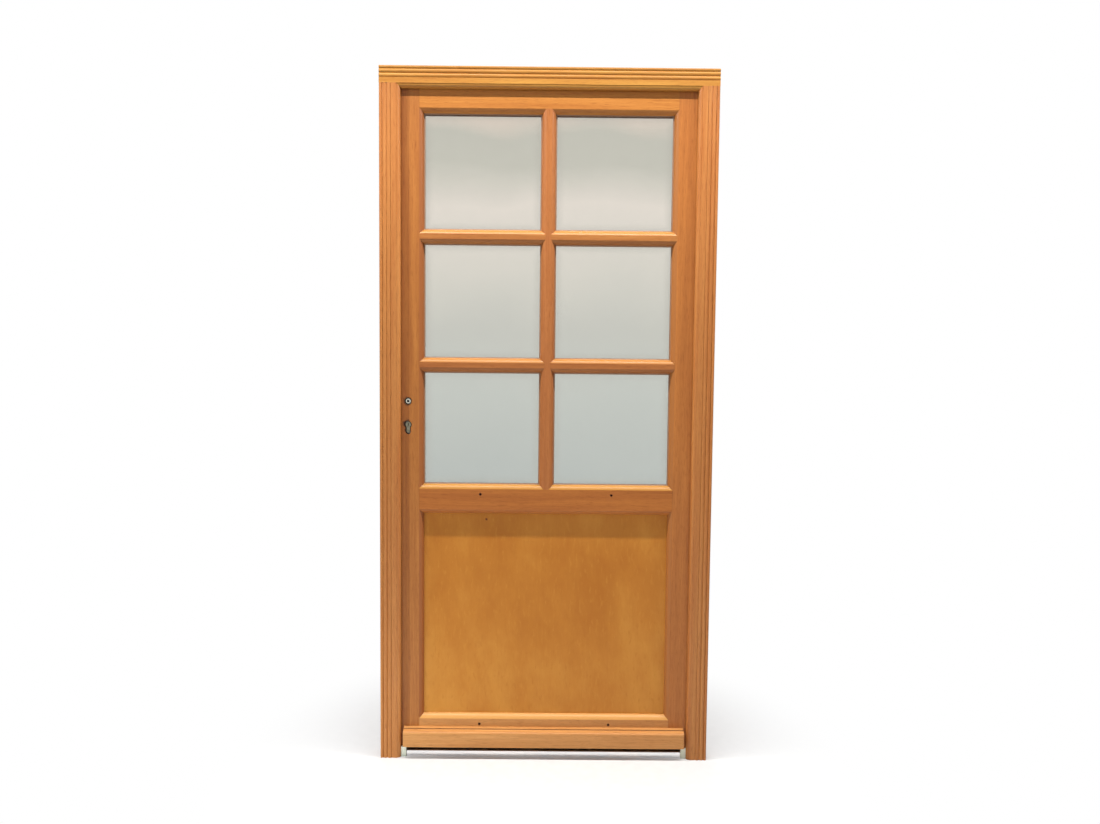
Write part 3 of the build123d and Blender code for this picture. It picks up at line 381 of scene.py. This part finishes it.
# Strike plate. A round-ended steel plate let into the lock-side jamb, with openings for both bolts.
# It is zinc plated and rubbed by the latch.
plate_edge = 0.0002
plate_steel = worn_metal(
    "plate_steel",
    colour=srgb(186, 186, 180),
    dull=srgb(140, 134, 120),
    roughness=0.38,
    lines=(900.0, 900.0, 30.0),
    tarnish=0.5,
)
dress(["strike_plate"], plate_steel, plate_edge)

# Hinges. Turned satin-nickel barrels on stems drilled into jamb and leaf, with a steel pin in each pair.
# They stand proud on the room side only.
hinge_nickel = worn_metal(
    "hinge_nickel",
    colour=srgb(202, 200, 194),
    dull=srgb(160, 156, 148),
    roughness=0.3,
    lines=(40.0, 40.0, 1400.0),
    tarnish=0.3,
)
for level in ("low", "middle", "top"):
    dress([f"hinge_{level}_frame_half", f"hinge_{level}_leaf_half"], hinge_nickel)
dress(["hinge_pins"], plate_steel)

# Stiles. The two full-height uprights of the leaf, mortised for the rails and moulded on the inner edge.
# The lock stile is glued up from two strips whose colour differs, and is painted darker round the lock's holes as
# shade.
leaf_edge = 0.0006
lock_stile_low, lock_stile_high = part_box("lock_stile")
leaf_face = lock_stile_low.y
opening_half = -lock_stile_high.x
lock_strip_width = 0.0345
lock_strip_edge = lock_stile_low.x + lock_strip_width
spindle = next(joint for joint in frame["joints"] if joint["name"] == "follower_turn")
spindle_x = spindle["pos_m"][0]
spindle_z = spindle["pos_m"][2]
# Dark spots round the spindle's and the cylinder's holes on the stile's face: painted shade of the holes' edges.
hole_edge_shade = srgb(46, 24, 12)
spindle_shade_radius = 0.0150
plug_shade_place = (-0.4258, leaf_face, 1.0365)
plug_shade_radius = 0.0155
cylinder_foot_shade_place = (-0.4250, leaf_face, 1.0180)
cylinder_foot_shade_radius = 0.0110
lock_hole_shade = [
    ((spindle_x, leaf_face, spindle_z), spindle_shade_radius, hole_edge_shade),
    (plug_shade_place, plug_shade_radius, hole_edge_shade),
    (cylinder_foot_shade_place, cylinder_foot_shade_radius, hole_edge_shade),
]
lock_stile_wood = hardwood(
    "lock_stile_wood",
    "Z",
    light=srgb(177, 114, 55),
    deep=srgb(152, 89, 41),
    offset=(4.0, 0.0, 1.0),
    lamella=(lock_strip_edge, srgb(205, 190, 180)),
    # Faces turned to +X, the mould towards the opening, take a darker tone: painted shade.
    painted_facing_light=((1.0, 0.0, 0.0), srgb(148, 87, 45)),
    marks=lock_hole_shade,
)
hinge_stile_wood = hardwood(
    "hinge_stile_wood",
    "Z",
    light=srgb(184, 116, 56),
    deep=srgb(161, 96, 45),
    offset=(1.0, 6.0, 2.0),
    # Faces turned to -X, the mould towards the opening, take a darker tone: painted shade.
    painted_facing_light=((-1.0, 0.0, 0.0), srgb(160, 100, 50)),
)
dress(["lock_stile"], lock_stile_wood, leaf_edge)
dress(["hinge_stile"], hinge_stile_wood, leaf_edge)

# Rails. Three cross members tenoned into the stiles, scribed over the stiles' mouldings.
# Old screw holes in the middle and bottom rails have dark spots round them, and their walls are painted near-black
# as shade.
mould_width = 0.013
stile_inner = opening_half + mould_width
millimetre = 0.001
mounts = {mount["name"]: mount for mount in frame["record"]["mounts"]}
old_holes = mounts["panel_cover_holes"]
hole_radius = old_holes["dims"]["hole_r_mm"] * millimetre
hole_reach = old_holes["dims"]["spacing_x_mm"] / 2 * millimetre
hole_rise = old_holes["dims"]["spacing_y_mm"] / 2 * millimetre
mid_hole_height = old_holes["pos_m"][2] + hole_rise
bottom_hole_height = old_holes["pos_m"][2] - hole_rise
hole_spot_radius = 0.0052
hole_slack = 1.02
face_skin = 0.0001
hole_spot_colour = srgb(48, 12, 4)


def hole_marks(height):
    """Dark spots round the pair of old screw holes at one height."""
    return [((side * hole_reach, leaf_face, height), hole_spot_radius, hole_spot_colour) for side in (-1, 1)]


top_rail_wood = hardwood(
    "top_rail_wood",
    "X",
    light=srgb(192, 127, 58),
    deep=srgb(170, 104, 44),
    offset=(2.0, 3.0, 7.0),
    joints=stile_inner,
)
mid_rail_wood = hardwood(
    "mid_rail_wood",
    "X",
    light=srgb(180, 110, 48),
    deep=srgb(157, 90, 38),
    offset=(6.0, 1.0, 3.0),
    joints=stile_inner,
    # Upward faces take a yellower tone: a painted highlight.
    painted_facing_light=(upward, srgb(176, 124, 51)),
    marks=hole_marks(mid_hole_height),
)
bottom_rail_wood = hardwood(
    "bottom_rail_wood",
    "X",
    light=srgb(199, 142, 81),
    deep=srgb(178, 118, 63),
    offset=(5.0, 4.0, 1.0),
    joints=stile_inner,
    # Upward faces take a paler, yellower tone: a painted highlight.
    painted_facing_light=(upward, srgb(206, 150, 83)),
    marks=hole_marks(bottom_hole_height),
)
dress(["top_rail"], top_rail_wood, leaf_edge)
dress(["mid_rail"], mid_rail_wood, leaf_edge)
dress(["bottom_rail"], bottom_rail_wood, leaf_edge)
# The old holes' walls are painted near-black and without gloss: painted shade inside the holes.
hole_shade = matt_skin("hole_shade", colour=srgb(44, 12, 5), grime=srgb(70, 24, 10), roughness=0.85)
hole_shade.node_tree.nodes["Principled BSDF"].inputs["Specular IOR Level"].default_value = 0.0
for name, height in (("mid_rail", mid_hole_height), ("bottom_rail", bottom_hole_height)):
    rail = nodes[name].data
    rail.materials.append(hole_shade)
    for face in rail.polygons:
        off_axis = math.hypot(abs(face.center.x) - hole_reach, face.center.z - height)
        if off_axis < hole_radius * hole_slack and face.center.y > leaf_face + face_skin:
            face.material_index = 1

# Glazing bars. One upright runs from the middle rail to the top rail, and cross bars are scribed to it.
# All carry the same rounded mould on both edges.
columns = ("left", "right")
upright_bar_wood = hardwood(
    "upright_bar_wood", "Z", light=srgb(174, 109, 59), deep=srgb(154, 90, 46), offset=(7.0, 2.0, 4.0)
)
upper_bar_wood = hardwood(
    "upper_bar_wood",
    "X",
    light=srgb(181, 121, 63),
    deep=srgb(160, 98, 49),
    offset=(1.0, 5.0, 6.0),
    # Upward faces take a less blue tone, so their highlight reads yellow: painted highlight colour.
    painted_facing_light=(upward, srgb(168, 110, 45)),
)
lower_bar_wood = hardwood(
    "lower_bar_wood",
    "X",
    light=srgb(170, 107, 55),
    deep=srgb(150, 87, 43),
    offset=(4.0, 5.0, 2.0),
    # Upward faces take a yellower tone: painted highlight colour.
    painted_facing_light=(upward, srgb(164, 108, 41)),
)
dress(["upright_bar"], upright_bar_wood, leaf_edge)
dress([f"cross_bar_upper_{column}" for column in columns], upper_bar_wood, leaf_edge)
dress([f"cross_bar_lower_{column}" for column in columns], lower_bar_wood, leaf_edge)


# Glass. Each light is a sealed unit of two sheets round an aluminium spacer.
# The sheets are greyish, with painted light in broad soft bands that stand in for what shows through them, and
# dust along their edges.
def banded_glass(name, foot, head, painted_bands, dust):
    """Clear glass whose tint, painted light, goes in bands from foot to head, duller along each sheet's edges."""
    band_drift = 0.025
    material, tree, shader = new_material(name)
    coords = put(tree, "ShaderNodeTexCoord").outputs
    height = axis_of(tree, coords["Object"], "Z")
    rise = remap(tree, height, start=foot, end=head, first=0.0, last=1.0)
    band_noise = noise(tree, coords["Object"], scale=3.0, detail=1.0)
    drift = remap(tree, band_noise, start=noise_low, end=noise_high, first=-band_drift, last=band_drift)
    tint = ramp(tree, math_node(tree, "ADD", rise, drift, clamp=True), painted_bands)
    share = put(tree, "ShaderNodeSeparateXYZ", {0: coords["Generated"]}).outputs
    edge = math_node(tree, "MINIMUM", share["X"], share["Z"])
    for axis in ("X", "Z"):
        edge = math_node(tree, "MINIMUM", edge, math_node(tree, "SUBTRACT", 1.0, share[axis]))
    dusty = remap(tree, edge, start=0.11, end=0.03, first=0.0, last=0.3, curve="SMOOTHSTEP")
    tree.links.new(blend_colour(tree, dusty, tint, dust), shader.inputs["Base Color"])
    shader.inputs["Roughness"].default_value = 0.0
    shader.inputs["Transmission Weight"].default_value = 1.0
    shader.inputs["IOR"].default_value = 1.46
    return material


pane_rows = ("lower", "middle", "upper")
rebate_grip = 0.011
glazing_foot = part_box("glass_lower_left")[0].z + rebate_grip
glazing_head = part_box("glass_upper_left")[1].z - rebate_grip
painted_glass_bands = [
    (0.0, srgb(216, 219, 216)),
    (0.25, srgb(222, 224, 220)),
    (0.42, srgb(224, 224, 219)),
    (0.58, srgb(233, 231, 225)),
    (0.76, srgb(239, 235, 229)),
    (0.87, srgb(223, 222, 215)),
    (0.95, srgb(222, 221, 214)),
    (1.0, srgb(234, 227, 219)),
]
pane_glass = banded_glass("pane_glass", glazing_foot, glazing_head, painted_glass_bands, dust=srgb(212, 210, 204))
dress([f"glass_{row}_{column}" for row in pane_rows for column in columns], pane_glass)
spacer_metal = worn_metal(
    "spacer_metal",
    colour=srgb(206, 208, 210),
    dull=srgb(170, 172, 174),
    roughness=0.4,
    lines=(300.0, 300.0, 300.0),
    tarnish=0.3,
)
dress(["glass_spacers"], spacer_metal)

# Sealant. A thin run of brown silicone closes the joint between each outer sheet and its mouldings.
# It is squeezed in after glazing and smoothed to a hollow fillet with a wet finger.
sealant_width = 0.0035
sealant_rise = 0.0025
sealant_steps = 5
glass_gap = 0.00005
wood_bite = 0.0001


def sealant_run(name, low, high, face):
    """Closed fillet round a sight opening, from its low to its high (x, z) corner, on a sheet's face."""
    hollow = [math.pi / 2 * step / sealant_steps for step in range(sealant_steps + 1)]
    profile = [(-wood_bite, glass_gap), (-wood_bite, sealant_rise)]
    profile += [
        (sealant_width * (1 - math.cos(turn)), glass_gap + sealant_rise * (1 - math.sin(turn)))
        for turn in hollow
    ]
    corners = [(low, low), (high, low), (high, high), (low, high)]
    ring = [
        (
            side[0] + (across if side is low else -across),
            face - out,
            end[1] + (across if end is low else -across),
        )
        for side, end in corners
        for across, out in profile
    ]
    count = len(profile)
    faces = []
    for corner in range(len(corners)):
        start = corner * count
        following = (corner + 1) % len(corners) * count
        for point in range(count):
            beside = (point + 1) % count
            faces.append((start + point, start + beside, following + beside, following + point))
    mesh = bpy.data.meshes.new(name)
    mesh.from_pydata(ring, [], faces)
    shaped = bmesh.new()
    shaped.from_mesh(mesh)
    bmesh.ops.recalc_face_normals(shaped, faces=shaped.faces)
    shaped.to_mesh(mesh)
    shaped.free()
    piece = bpy.data.objects.new(name, mesh)
    bpy.context.scene.collection.objects.link(piece)
    return piece


brown_sealant = matt_skin(
    "brown_sealant", colour=srgb(146, 108, 80), grime=srgb(120, 90, 68), roughness=0.5
)
for row in pane_rows:
    for column in columns:
        unit_low, unit_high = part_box(f"glass_{row}_{column}")
        sight_low = (unit_low.x + rebate_grip, unit_low.z + rebate_grip)
        sight_high = (unit_high.x - rebate_grip, unit_high.z - rebate_grip)
        sealant = sealant_run(f"sealant_{row}_{column}", sight_low, sight_high, unit_low.y)
        sealant.data.materials.append(brown_sealant)
        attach(sealant, "leaf")


# Inside beads. Four mitred strips hold each unit, and four more hold the panel, from the room side.
# Each strip is cut along the grain, so upright and level strips take different wood.
def strip_islands(mesh):
    """Faces of each separate strip in a mesh whose strips don't touch."""
    decimals = 6
    places = [tuple(round(value, decimals) for value in vertex.co) for vertex in mesh.vertices]
    numbers = {}
    for place in places:
        numbers.setdefault(place, len(numbers))
    corner = [numbers[place] for place in places]
    owner = list(range(len(numbers)))

    def root(index):
        while owner[index] != index:
            index = owner[index]
        return index

    for polygon in mesh.polygons:
        first = root(corner[polygon.vertices[0]])
        for vertex in polygon.vertices[1:]:
            owner[root(corner[vertex])] = first
    islands = {}
    for polygon in mesh.polygons:
        islands.setdefault(root(corner[polygon.vertices[0]]), []).append(polygon)
    return islands.values()


bead_light = srgb(188, 120, 62)
bead_deep = srgb(166, 98, 48)
bead_level_wood = hardwood("bead_level_wood", "X", bead_light, bead_deep, offset=(8.0, 3.0, 2.0))
bead_upright_wood = hardwood("bead_upright_wood", "Z", bead_light, bead_deep, offset=(3.0, 8.0, 2.0))
bead_sets = [f"beads_{row}_{column}" for row in pane_rows for column in columns] + ["panel_beads"]
for name in bead_sets:
    mesh = nodes[name].data
    dress([name], bead_level_wood)
    mesh.materials.append(bead_upright_wood)
    for island in strip_islands(mesh):
        points = [mesh.vertices[v].co for polygon in island for v in polygon.vertices]
        wide = max(p.x for p in points) - min(p.x for p in points)
        tall = max(p.z for p in points) - min(p.z for p in points)
        for polygon in island:
            polygon.material_index = 1 if tall > wide else 0


# Lower panel. A flat board faced with golden veneer, set in the same rebate as the glass.
# Its figure is soft and upright, with short flecks under the varnish and one old stain near the top.
def veneer(name, pale, golden, brown, middle, reach, marks):
    """Satin-varnished veneer with a soft flecked figure, painted a little paler towards its edges and its foot as
    light.

    middle is the centre of the sheet and reach is half the width and height that show.
    """
    slant = 0.14
    blotch_share = 0.75
    curl_share = 0.25
    thread_share = 0.35
    thread_shade = (0.92, 0.90, 0.86, 1.0)
    material, tree, shader = new_material(name)
    place = put(tree, "ShaderNodeTexCoord").outputs["Object"]
    slanted = put(tree, "ShaderNodeMapping", {"Vector": place, "Rotation": (0.0, slant, 0.0)}).outputs[0]
    blotch = stretched_noise(tree, slanted, across=7.0, along=4.5, detail=4.0, grain="Z", offset=(2, 0, 4))
    curl = stretched_noise(tree, slanted, across=28.0, along=9.0, detail=5.0, grain="Z", offset=(0, 3, 1))
    flecks = stretched_noise(tree, place, across=95.0, along=30.0, detail=2.5, grain="Z", offset=(1, 7, 3))
    fibre = stretched_noise(tree, place, across=620.0, along=16.0, detail=3.0, grain="Z", offset=(5, 2, 0))
    from_middle = vector_node(tree, "SUBTRACT", place, middle)
    shared = vector_node(tree, "MULTIPLY", from_middle, (1 / reach[0], 0.0, 1 / reach[1]))
    outward = vector_node(tree, "LENGTH", shared)
    # Paler towards the edges and the foot: painted light.
    painted_edge_light = remap(tree, outward, start=0.35, end=1.15, first=-0.06, last=0.08)
    painted_foot_light = remap(tree, axis_of(tree, shared, "Z"), start=1.0, end=-1.0, first=-0.07, last=0.10)
    broad = math_node(tree, "MULTIPLY", blotch, blotch_share)
    tone = math_node(tree, "ADD", broad, math_node(tree, "MULTIPLY", curl, curl_share))
    tone = math_node(tree, "ADD", tone, math_node(tree, "ADD", painted_edge_light, painted_foot_light))
    colour = ramp(tree, tone, [(0.34, brown), (0.52, golden), (0.74, pale)])
    bright = remap(tree, flecks, start=0.56, end=0.72, first=0.0, last=0.38)
    colour = blend_colour(tree, bright, colour, pale)
    dark = remap(tree, flecks, start=0.42, end=0.28, first=0.0, last=0.45)
    colour = blend_colour(tree, dark, colour, brown)
    threads = ramp(tree, fibre, [(0.3, thread_shade), (0.6, white)])
    colour = blend_colour(tree, thread_share, colour, threads, "MULTIPLY")
    for centre, radius, mark_colour in marks:
        colour = blend_colour(tree, spot_mask(tree, place, centre, radius), colour, mark_colour)
    tree.links.new(colour, shader.inputs["Base Color"])
    uneven_gloss(tree, shader, curl, shiny=0.36, dull=0.48)
    shader.inputs["Specular IOR Level"].default_value = 0.22
    shader.inputs["Coat Weight"].default_value = 0.06
    shader.inputs["Coat Roughness"].default_value = 0.25
    relief(tree, shader, fibre, strength=0.12, depth=0.0003)
    return material


panel_low, panel_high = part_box("lower_panel")
panel_half = (panel_high - panel_low) / 2
panel_middle = panel_low + panel_half
panel_reach = (panel_half.x - rebate_grip, panel_half.z - rebate_grip)
stain_place = (-0.183, panel_low.y, 0.742)
stain_radius = 0.0045
stain_brown = srgb(104, 54, 24)
panel_veneer = veneer(
    "panel_veneer",
    pale=srgb(198, 135, 54),
    golden=srgb(184, 117, 40),
    brown=srgb(174, 106, 32),
    middle=panel_middle,
    reach=panel_reach,
    marks=[(stain_place, stain_radius, stain_brown)],
)
dress(["lower_panel"], panel_veneer)

# Weatherboard. A moulded board across the foot of the leaf that throws the rain clear of the threshold.
# It is screwed on from inside, and its top edge has a strip and a fine quirk.
quirk_out = 0.0125
quirk_half = 0.0022
weatherboard_wood = hardwood(
    "weatherboard_wood",
    "X",
    light=srgb(206, 148, 87),
    deep=srgb(183, 122, 65),
    offset=(9.0, 1.0, 5.0),
    # The quirk's dark line is painted shade.
    quirk=(leaf_face - quirk_out, quirk_half),
)
dress(["weatherboard"], weatherboard_wood, leaf_edge)

# Mortise lock. A pressed steel case with its forend in the edge of the lock stile, holding both bolts.
# Its nickel follower shows in the round hole with a painted shade round its rim, and the square hole for a handle
# is painted black as shade.
lock_edge = 0.0003
rim_shade_start = 0.0064
rim_shade_full = 0.0080
square_half = 0.004
square_slack = 1.02
wall_normal_y = 0.5
case_steel = worn_metal(
    "case_steel",
    colour=srgb(150, 150, 146),
    dull=srgb(110, 104, 92),
    roughness=0.42,
    lines=(200.0, 200.0, 200.0),
    tarnish=0.6,
)
dress(["lock_case"], case_steel)
dress(["forend"], plate_steel, plate_edge)
bolt_nickel = worn_metal(
    "bolt_nickel",
    colour=srgb(204, 202, 192),
    dull=srgb(158, 152, 138),
    roughness=0.28,
    lines=(900.0, 60.0, 900.0),
    tarnish=0.4,
)
dress(["latch_bolt", "deadbolt"], bolt_nickel, lock_edge)
follower_nickel = worn_metal(
    "follower_nickel",
    colour=srgb(226, 224, 208),
    dull=srgb(190, 184, 164),
    roughness=0.3,
    lines=(900.0, 900.0, 900.0),
    tarnish=0.3,
)


def shaded_rim(material, colour):
    """Darken a metal away from the spindle's axis: painted shade of the gap round the follower's rim."""
    tree = material.node_tree
    base = tree.nodes["Principled BSDF"].inputs["Base Color"]
    place = put(tree, "ShaderNodeTexCoord").outputs["Object"]
    facade = vector_node(tree, "MULTIPLY", place, (1.0, 0.0, 1.0))
    away = vector_node(tree, "DISTANCE", facade, (spindle_x, 0.0, spindle_z))
    share = remap(tree, away, start=rim_shade_start, end=rim_shade_full, first=0.0, last=1.0)
    tree.links.new(blend_colour(tree, share, base.links[0].from_socket, colour), base)


shaded_rim(follower_nickel, srgb(46, 34, 24))
dress(["lock_follower"], follower_nickel, lock_edge)
# The square hole's walls are painted near-black: painted shade deep in the hole.
square_hole_shade = matt_skin("square_hole_shade", colour=srgb(34, 36, 32), grime=srgb(62, 56, 44), roughness=0.6)
follower_mesh = nodes["lock_follower"].data
follower_mesh.materials.append(square_hole_shade)
for face in follower_mesh.polygons:
    off_axis = max(abs(face.center.x - spindle_x), abs(face.center.z - spindle_z))
    if off_axis < square_half * square_slack and abs(face.normal.y) < wall_normal_y:
        face.material_index = 1

# Profile cylinder. A nickel-plated brass body gone dull, with its plug, keyway and cam.
# One long screw through the forend holds it in the lock.
cylinder_nickel = worn_metal(
    "cylinder_nickel",
    colour=srgb(140, 136, 118),
    dull=srgb(104, 98, 76),
    roughness=0.36,
    lines=(500.0, 500.0, 500.0),
    tarnish=0.7,
)
dress(["cylinder_body", "cylinder_plug", "cylinder_cam"], cylinder_nickel)

# Stage. A pale floor that carries the door's soft shadow and runs out to white.
# Its middle is lit like any surface, and from there it fades into the white surroundings.
floor_half = 9.0
shadow_start = 0.2
shadow_end = 1.0
floor_greys = [(noise_low, (0.66, 0.66, 0.67, 1.0)), (noise_high, (0.70, 0.70, 0.71, 1.0))]
floor_corners = [(x * floor_half, y * floor_half, 0) for x, y in ((-1, -1), (1, -1), (1, 1), (-1, 1))]
floor_mesh = bpy.data.meshes.new("floor")
floor_mesh.from_pydata(floor_corners, [], [(0, 1, 2, 3)])
floor = bpy.data.objects.new("floor", floor_mesh)
bpy.context.scene.collection.objects.link(floor)


def seen_directly(tree):
    """One for rays that show a surface itself: from the camera, a reflection or through glass."""
    rays = put(tree, "ShaderNodeLightPath").outputs
    shown = math_node(tree, "MAXIMUM", rays["Is Camera Ray"], rays["Is Glossy Ray"])
    return math_node(tree, "MAXIMUM", shown, rays["Is Transmission Ray"])


floor_paint, floor_tree, floor_shader = new_material("floor_paint")
floor_place = put(floor_tree, "ShaderNodeTexCoord").outputs["Object"]
floor_grain = noise(floor_tree, floor_place, scale=30.0, detail=4.0)
floor_tree.links.new(ramp(floor_tree, floor_grain, floor_greys), floor_shader.inputs["Base Color"])
floor_shader.inputs["Roughness"].default_value = 0.7
floor_away = vector_node(floor_tree, "LENGTH", floor_place)
floor_fade = remap(floor_tree, floor_away, shadow_start, shadow_end, 0.0, 1.0, curve="SMOOTHSTEP")
floor_share = math_node(floor_tree, "MULTIPLY", floor_fade, seen_directly(floor_tree))
floor_white = put(floor_tree, "ShaderNodeEmission", {"Color": white, "Strength": 1.0})
floor_mix = put(
    floor_tree,
    "ShaderNodeMixShader",
    {0: floor_share, 1: floor_shader.outputs[0], 2: floor_white.outputs[0]},
)
floor_tree.links.new(floor_mix.outputs[0], floor_tree.nodes["Material Output"].inputs["Surface"])
floor_mesh.materials.append(floor_paint)

# Light. A long narrow lamp hangs close over the front of the door, and wide soft lamps fill both sides.
# A faint one near the floor brightens the foot of the lock-side jamb. The surroundings are white to the
# eye, in metal and through the glass.
ambient = 0.185
world = bpy.data.worlds.new("surroundings")
bpy.context.scene.world = world
world.use_nodes = True
world_tree = world.node_tree
world_light = world_tree.nodes["Background"]
world_light.inputs["Color"].default_value = white
world_level = remap(world_tree, seen_directly(world_tree), 0.0, 1.0, first=ambient, last=1.0)
world_tree.links.new(world_level, world_light.inputs["Strength"])


def area_lamp(name, place, target, size, power, colour, mirrored=False):
    """Soft rectangular lamp at a place, turned to a target, and seen in glossy surfaces if mirrored."""
    lamp = bpy.data.lights.new(name, "AREA")
    lamp.shape = "RECTANGLE"
    lamp.size, lamp.size_y = size
    lamp.energy = power
    lamp.color = colour
    holder = bpy.data.objects.new(name, lamp)
    holder.location = place
    holder.rotation_euler = (Vector(target) - Vector(place)).to_track_quat("-Z", "Y").to_euler()
    holder.visible_camera = False
    holder.visible_transmission = False
    holder.visible_glossy = mirrored
    bpy.context.scene.collection.objects.link(holder)


area_lamp(
    "strip_lamp",
    place=(0.0, -0.381, 2.559),
    target=(0.0, -2.89, 0.0),
    size=(3.6, 0.08),
    power=166.0,
    colour=(1.0, 0.98, 0.94),
    mirrored=True,
)
area_lamp(
    "front_fill",
    place=(-1.4, -3.6, 3.5),
    target=(0.0, 0.0, 1.0),
    size=(3.0, 2.2),
    power=27.0,
    colour=(1.0, 0.99, 0.97),
)
area_lamp(
    "low_glow",
    place=(-0.78, -0.52, 0.05),
    target=(-0.5, 0.0, 0.1),
    size=(0.7, 0.08),
    power=2.3,
    colour=(0.78, 0.92, 1.0),
)
area_lamp(
    "back_fill",
    place=(-0.6, 3.8, 3.0),
    target=(0.0, 0.0, 1.0),
    size=(3.0, 2.2),
    power=95.0,
    colour=(1.0, 0.99, 0.97),
)

# Camera. It stands in front of the door at chest height, level with the glass, and looks slightly down.
# Focal length and place were fitted to the corners of the frame in the photograph.
photo_width = 1100
focal_pixels = 825.0
sensor_width = 36.0
camera_place = Vector((0.0026, -2.5283, 1.2299))
yaw = math.radians(-0.176)
pitch = math.radians(3.467)
roll = math.radians(0.557)
# In the view's own axes y runs down and z forward. Blender's camera has y up and looks along -z.
level_view = Matrix(((1, 0, 0), (0, 0, -1), (0, 1, 0)))
turned_view = Matrix.Rotation(yaw, 3, "Y") @ level_view
view_axes = Matrix.Rotation(roll, 3, "Z") @ Matrix.Rotation(pitch, 3, "X") @ turned_view
camera_flip = Matrix(((1, 0, 0), (0, -1, 0), (0, 0, -1)))
camera_data = bpy.data.cameras.new("camera")
camera_data.sensor_width = sensor_width
camera_data.lens = focal_pixels / photo_width * sensor_width
camera = bpy.data.objects.new("camera", camera_data)
camera.matrix_world = Matrix.Translation(camera_place) @ (view_axes.transposed() @ camera_flip).to_4x4()
bpy.context.scene.collection.objects.link(camera)
bpy.context.scene.camera = camera
bpy.context.scene.view_settings.view_transform = "Standard"
